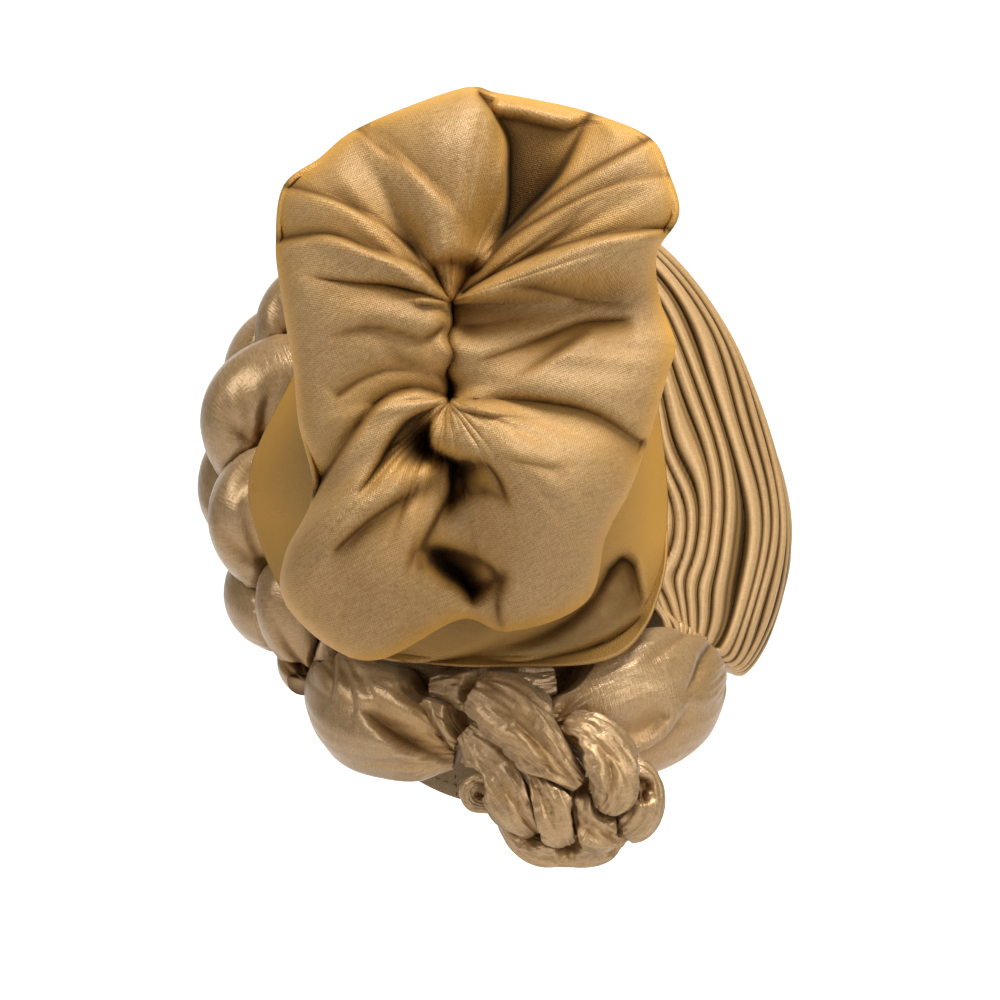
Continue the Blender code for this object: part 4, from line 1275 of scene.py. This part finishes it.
RUFFLE_FOLDS = (
    (-4, 172, -20, 190, -40, 208, -49, 213, -60, 223, 1, 9, 8, 6, 2, 12, 1),
    (-27, 197, -40, 210, -47, 216, -52, 219, -57, 225, 1, 1, 3, 3, 1.5, 3, 1),
    (0, 176, 2.5, 190, 3, 205, 2, 221, -9, 237, 1, 20, 34, 12, 3, 24, 2),
    (-10, 166, 2, 178, 14, 190, 27, 205, 38, 228, -1, 8, 15, 10, 2, 16, 2),
    (0, 229, 9, 228, 20, 225, 30, 224, 38, 229, 1, 8, 12, 6, 4.5, 20, 2),
    (-11, 161, 0, 174, 20, 192, 38, 204, 63, 218, -1, 7, 7, 5, 2, 10, 1),
    (-9, 162, 3, 175, 20, 186, 45, 198, 71, 203, -1, 7, 6, 3, 2, 7, 1),
    (3, 165, 12, 171, 24, 178, 32, 185, 36, 191, -1, 2, 4, 1, 5, 6, 1),
    (-21, 149, -8, 158, 12, 168, 40, 177, 73, 181, -1, 6, 10, 9, 3, 12, 1),
    (3, 157, 14, 157, 26, 153, 37, 150, 48, 149, -1, 1, 8, 6, 2.5, 9, 1),
    (-21, 141, -12, 140.5, -2, 141.5, 6, 142.5, 14, 144, 1, 8, 7, 2, 2, 6, 1),
    (-8, 127, 5, 131, 18, 136, 35, 142, 52, 143, 1, 2, 10, 6, 6, 12, 1),
    (-20, 109, -6, 112, 8, 119, 22, 128, 37, 137, -1, 7, 7, 3, 2, 11, 1),
    (-27, 107.5, -29, 98, -28, 89.5, -19.5, 84.5, -9, 86, 1, 18, 28, 12, 3, 15, 2),
    (-20, 109, 0, 111, 20, 110, 40, 105, 60, 92, 1, 1, 9, 6, 3.5, 13, 1),
    (-20, 107, -10, 105, 0, 104, 8, 103, 16, 102, 1, 3, 3, 0, 2, 4, 1),
    (-20.5, 149, -21, 141, -20.5, 130, -22, 119, -21, 110, 1, 6, 4, 6, 2, 5, 1),
    (-17, 153, -30, 166, -50, 182, -68, 192, -89, 198, 1, 7, 8, 5, 2, 12, 1),
    (-20, 154, -30, 164, -42, 176, -50, 183, -58, 188, 1, 3, 4, 0, 2, 4, 1),
    (-20, 151, -35, 165, -52, 171, -72, 178, -92, 176, 1, 7, 9, 6, 3.5, 11, 1),
    (-22, 150, -34, 155, -46, 158, -60, 159, -76, 161, -1, 8, 9, 2, 3.5, 9, 1),
    (-22, 145, -25, 148, -29, 149.5, -33, 150, -38, 150, -1, 8, 7, 0, 2, 4, 1),
    (-24, 141, -32, 136, -42, 139, -54, 141, -68, 138, -1, 5, 8, 2, 3.5, 7, 1),
    (-20, 111, -26, 119, -34, 124, -41, 127, -48, 133, 1, 6, 6, 2, 2, 8, 1),
    (-20, 110, -30, 120, -45, 122, -57, 118, -67, 111, 1, 6, 10, 9, 2, 7, 1),
    (-20, 109, -35, 114, -48, 110, -60, 96, -78, 69, 1, 6, 11, 10, 2, 12, 1),
    (-30, 166, -24, 168.5, -18, 168.5, -13, 167, -9, 166, 1, 6, 16, 8, 2, 8, 1.2),
    (-7, 86.5, 0, 88, 10.5, 85.5, 21, 83.5, 31.5, 86.5, 1, 3, 4, 0, 8.5, 9, 1),
    (-9.5, 85.5, -4, 84, 0, 79, 2.5, 73, 4, 67, 1, 11, 9, 1, 3, 10, 1),
    (-25, 108.5, -38, 103, -46, 93.5, -51, 84, -56.5, 75, -1, 8, 13, 9, 3, 16, 1),
    (-22, 110.5, -35, 114, -48, 110, -60, 96, -78, 69, 1, 6, 11, 9, 2, 6, 1.2),
    (-21.5, 79, -27, 80.5, -35, 79.5, -43, 76, -50.5, 73, 1, 14, 11, 2, 3.5, 11, 2),
    (-21.5, 64.5, -16, 68, -9, 71, -2, 71, 4, 68, -1, 12, 7, 1, 4.5, 10, 1.5),
    (-36.5, 46, -25, 46.5, -13.5, 44.5, -4, 40.5, 2, 33, 1, 7, 9, 6, 7, 12, 1.2),
    (-22, 79, -21.5, 72, -25, 65, -30, 56, -36, 44, -1, 22, 8, 5, 3, 6, 1.5),
    (-36.5, 44.5, -29.5, 40, -22, 34, -16, 29, -12, 24.5, -1, 13, 30, 18, 1, 11, 1.4),
    (-12, 24, -7, 27, -2.5, 31, 0.5, 33.5, 3, 36.5, -1, 6, 13, 6, 3.5, 8, 2),
    (3, 36, 1.5, 30.5, 0, 25.5, 0, 19.5, 1.5, 12.5, 1, 6, 6, 2, 2, 5, 1),
    (-27, 77, -37, 73, -47, 67, -58, 59, -68, 50, -1, 9, 12, 5, 2, 9, 1),
    (-36, 44, -37.5, 41.5, -38.5, 39.5, -40, 38, -41, 36, 1, 5, 3, 0, 2, 4, 1),
    (-35.5, 44, -34, 41.5, -33, 39, -32.5, 37, -31.5, 35, 1, 4, 3, 0, 2, 3, 1),
)
# Each ring lies a share of the way out, at a mix of the seam's, the middle's, the rim's and the back's depth.
FRONT_RINGS = (
    (0, 1, 0, 0, 0),
    (0.02, 0.40, 0.60, 0, 0),
    (0.06, 0.22, 0.78, 0, 0),
    (0.13, 0.12, 0.88, 0, 0),
    (0.25, 0.04, 0.96, 0, 0),
    (0.40, 0, 1, 0, 0),
    (0.52, 0, 1, 0, 0),
    (0.64, 0, 0.95, 0.05, 0),
    (0.76, 0, 0.83, 0.17, 0),
    (0.87, 0, 0.62, 0.38, 0),
    (0.95, 0, 0.34, 0.66, 0),
    (1, 0, 0, 1, 0),
)
BACK_RINGS = (
    (0.95, 0, 0.34, 0.66, 0),
    (1, 0, 0, 1, 0),
    (0.97, 0, 0, 0.75, 0.25),
    (0.80, 0, 0, 0.40, 0.60),
    (0.52, 0, 0, 0, 1),
)
BACK_REAR = 122.5 * MM
BACK_AT = 1.4
BACK_CREASED = 0.8
CRINKLE_PLACES = (3.2, 1.1)
# How strong the coarse crinkles are at the seam, and how much of that is gone at the rim.
CRINKLE_FADE = (1.2, 0.9)
CRINKLE_COARSE = 0.8 * MM
CRINKLE_FINE = 0.9 * MM
CRINKLE_PATCH = 60 * MM
GATHERS = 1.3 * MM
GATHERS_STRETCH = (2.6, 2.6, 0.5)
GATHERS_REACH = 0.14
GATHERS_DEPTH = 5 * MM
SEAM_STILL = 0.10
CREASE_SOFTNESS = 0.4
ROOM_OUT = (0.52, 0.80, 0.97, 1.0)
ROOM_SHARE = (0, 0.4, 0.75, 1.0)
ROOM_LEAST = 1 * MM
ROOM_HARDNESS = 4
# Painted light: a golden glow at the rim, a golden sheen where the cloth turns sideways, highlights on upper fold
# edges, and a glow in middling hollows. Painted shade: in deep hollows, creases and lower down; lighter in the open
# top pocket.
TURNED_SHARPNESS = 1.5
GLOW = 0.75
GLOW_WIDTH = 0.09
TURNED_GOLD = 0.5
EDGE_LINE_GOLD = 0.4
SUNK_GOLD = 0.6
SUNK_GOLD_DEPTH = 11 * MM
SUNK_GOLD_REACH = 7 * MM
LOW_FROM = 105 * MM
LOW_HEIGHT = 50 * MM
LOW_SHADE = 0.1
OPEN_FROM = 165 * MM
OPEN_HEIGHT = 15 * MM
OPEN_LIGHT = 0.4
RUFFLE_SHADE_FROM = 8 * MM
RUFFLE_SHADE_DEPTH = 17 * MM
CREASE_SHADE = 0.75
RUFFLE_SHADE_MOST = 0.95

rim_table = columns(RIM_COLUMNS, spline(RIM_TABLE, RUFFLE_SPOKES, closed=True))
rim = points_of(rim_table, "rim")
seam_top = np.array([SEAM_TOP[0], -SEAM_REAR, SEAM_TOP[1]])
seam_foot = np.array([SEAM_FOOT[0], -SEAM_REAR, SEAM_FOOT[1]])
seam = seam_top - seam_foot
share = np.clip(((rim - seam_foot) @ seam) / seam.dot(seam), 0, 1)
root = seam_foot + share[:, None] * seam
away = (rim - root) * np.array([1, 0, 1])
root = root + unit(away) * SEAM_HALF_WIDTH
root[:, 0] += SEAM_WANDER * np.sin(SEAM_WANDERS * math.pi * share) * np.sin(math.pi * share)
middle_y = rim_table["middle_y"] * MM
root_y = SEAM_REAR + SEAM_RISE * np.sin(math.pi * share) ** 2


def rings(rows, steps):
    """Rings of the ruffle, a few to each row of share out and mix of depths."""
    found = []
    for out, of_seam, of_middle, of_rim, of_back in spline(rows, (len(rows) - 1) * steps + 1):
        ring = root + (rim - root) * out
        sideways = (ring[:, 0] - HOOD_CENTRE[0]) / HOOD_REACH[0]
        upwards = (ring[:, 2] - HOOD_CENTRE[1]) / HOOD_REACH[1]
        filled = middle_y - (HOOD_REAR + middle_y) * np.exp(-(sideways ** 2 + upwards ** 2) ** 2)
        ring[:, 1] = of_middle * filled + of_rim * rim[:, 1] - of_seam * root_y - of_back * BACK_REAR
        found.append(ring)
    return found


front_rings = rings(FRONT_RINGS, RUFFLE_FRONT_STEPS)
back_rings = rings(BACK_RINGS, RUFFLE_BACK_STEPS)[RUFFLE_BACK_STEPS + 1:]
ruffle_base = np.array(front_rings + back_rings)
in_back = np.linspace(BACK_CREASED, 0, len(back_rings)) ** 2
in_front = np.concatenate([np.ones(len(front_rings)), in_back])[:, None]
sink, edge, crease = folds(ruffle_base[..., 0], ruffle_base[..., 2], RUFFLE_FOLDS)
crease = eased(crease, CREASE_SOFTNESS)
spoke = np.arange(RUFFLE_SPOKES) / RUFFLE_SPOKES * 2 * math.pi
ring_at = np.concatenate([np.linspace(0, 1, len(front_rings)), np.linspace(1, BACK_AT, len(back_rings))])[:, None]
around_spokes = np.stack([np.cos(spoke), np.sin(spoke)], axis=-1)[None] + 0 * ring_at[..., None]
outwards = ring_at[..., None] * CRINKLE_PLACES[1] + 0 * around_spokes[..., :1]
places = np.concatenate([around_spokes * CRINKLE_PLACES[0], outwards], axis=-1)
fading = CRINKLE_FADE[0] - CRINKLE_FADE[1] * np.clip(ring_at, 0, 1)
coarse = waves(places, count=12, reach=0.45, seed=7) * fading * CRINKLE_COARSE
fine = waves(ruffle_base / CRINKLE_PATCH, count=9, reach=0.8, seed=11) * CRINKLE_FINE
gathers = creasing(waves(places * GATHERS_STRETCH, count=10, reach=0.6, seed=23))
gathers = gathers * np.exp(-ring_at / GATHERS_REACH - sink / GATHERS_DEPTH) * GATHERS
near_seam = np.clip(ring_at / SEAM_STILL, 0, 1)
sink = (sink + (coarse + fine + gathers)) * in_front * near_seam
sink = eased(eased(sink))
# The folds stop short of the back panel, and the more so the nearer they are to the rim.
share_out = np.array([row[0] for row in spline(FRONT_RINGS, len(front_rings))] + [1] * len(back_rings))
behind = np.interp(share_out, ROOM_OUT, ROOM_SHARE)[:, None]
deepest = BACK_REAR + RUFFLE_CLEAR + behind * (np.abs(rim[:, 1]) - BACK_REAR)
room = np.clip(-ruffle_base[..., 1] - deepest, ROOM_LEAST, None)
held = (1 + (np.abs(sink) / room) ** ROOM_HARDNESS) ** (1 / ROOM_HARDNESS)
sink = np.where(sink > 0, sink / held, sink)
ruffle_grid = ruffle_base + np.array([0, 1, 0]) * sink[..., None]
# Painted golden light: a glow at the rim, a sheen where the cloth turns sideways, highlights on the upper fold edges
# and a glow in middling hollows.
turned = 1 - np.abs(grid_normals(ruffle_grid, around=True)[..., 1])
ruffle_painted_light = GLOW * hump(ring_at, 1.0, GLOW_WIDTH) + TURNED_GOLD * turned ** TURNED_SHARPNESS
ruffle_painted_light = ruffle_painted_light + EDGE_LINE_GOLD * edge * in_front
sunk_painted_glow = SUNK_GOLD * hump(sink, SUNK_GOLD_DEPTH, SUNK_GOLD_REACH) * in_front * near_seam
ruffle_painted_light = np.clip(np.clip(ruffle_painted_light, 0, 1) + sunk_painted_glow, 0, 1)
# Painted shade in deep hollows and creases, darker towards the bottom, and lighter where painted light falls into the
# open pocket at the top.
low = np.clip((LOW_FROM - ruffle_grid[..., 2]) / LOW_HEIGHT, 0, 1)
open_above = np.clip((ruffle_grid[..., 2] - OPEN_FROM) / OPEN_HEIGHT, 0, 1)
ruffle_shade = ((sink - RUFFLE_SHADE_FROM) / RUFFLE_SHADE_DEPTH).clip(0, 1) * in_front * near_seam
ruffle_shade = ruffle_shade * (1 - OPEN_LIGHT * open_above) + (crease * CREASE_SHADE + low * LOW_SHADE) * in_front
ruffle_shade = np.clip(ruffle_shade, 0, RUFFLE_SHADE_MOST)
x, y, z = (ruffle_grid[..., axis] for axis in range(3))
cos_grain, sin_grain = math.cos(RUFFLE_GRAIN), math.sin(RUFFLE_GRAIN)
threads_u = x * cos_grain + z * sin_grain + RUFFLE_GRAIN_DEEP * y
threads_v = z * cos_grain - x * sin_grain + RUFFLE_GRAIN_DEEP * y
ruffle_map = np.stack([threads_u, threads_v], axis=-1)
ruffle_marks = {"painted_gold_light": ruffle_painted_light, "shade": ruffle_shade}
ruffle = lofted("ruffle", ruffle_grid, taffeta, around=True, uv=ruffle_map, marks=ruffle_marks)
face_out(ruffle, RUFFLE_MIDDLE)
thicken(ruffle, RUFFLE_CLOTH)
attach(ruffle, "root")
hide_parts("ruffle")
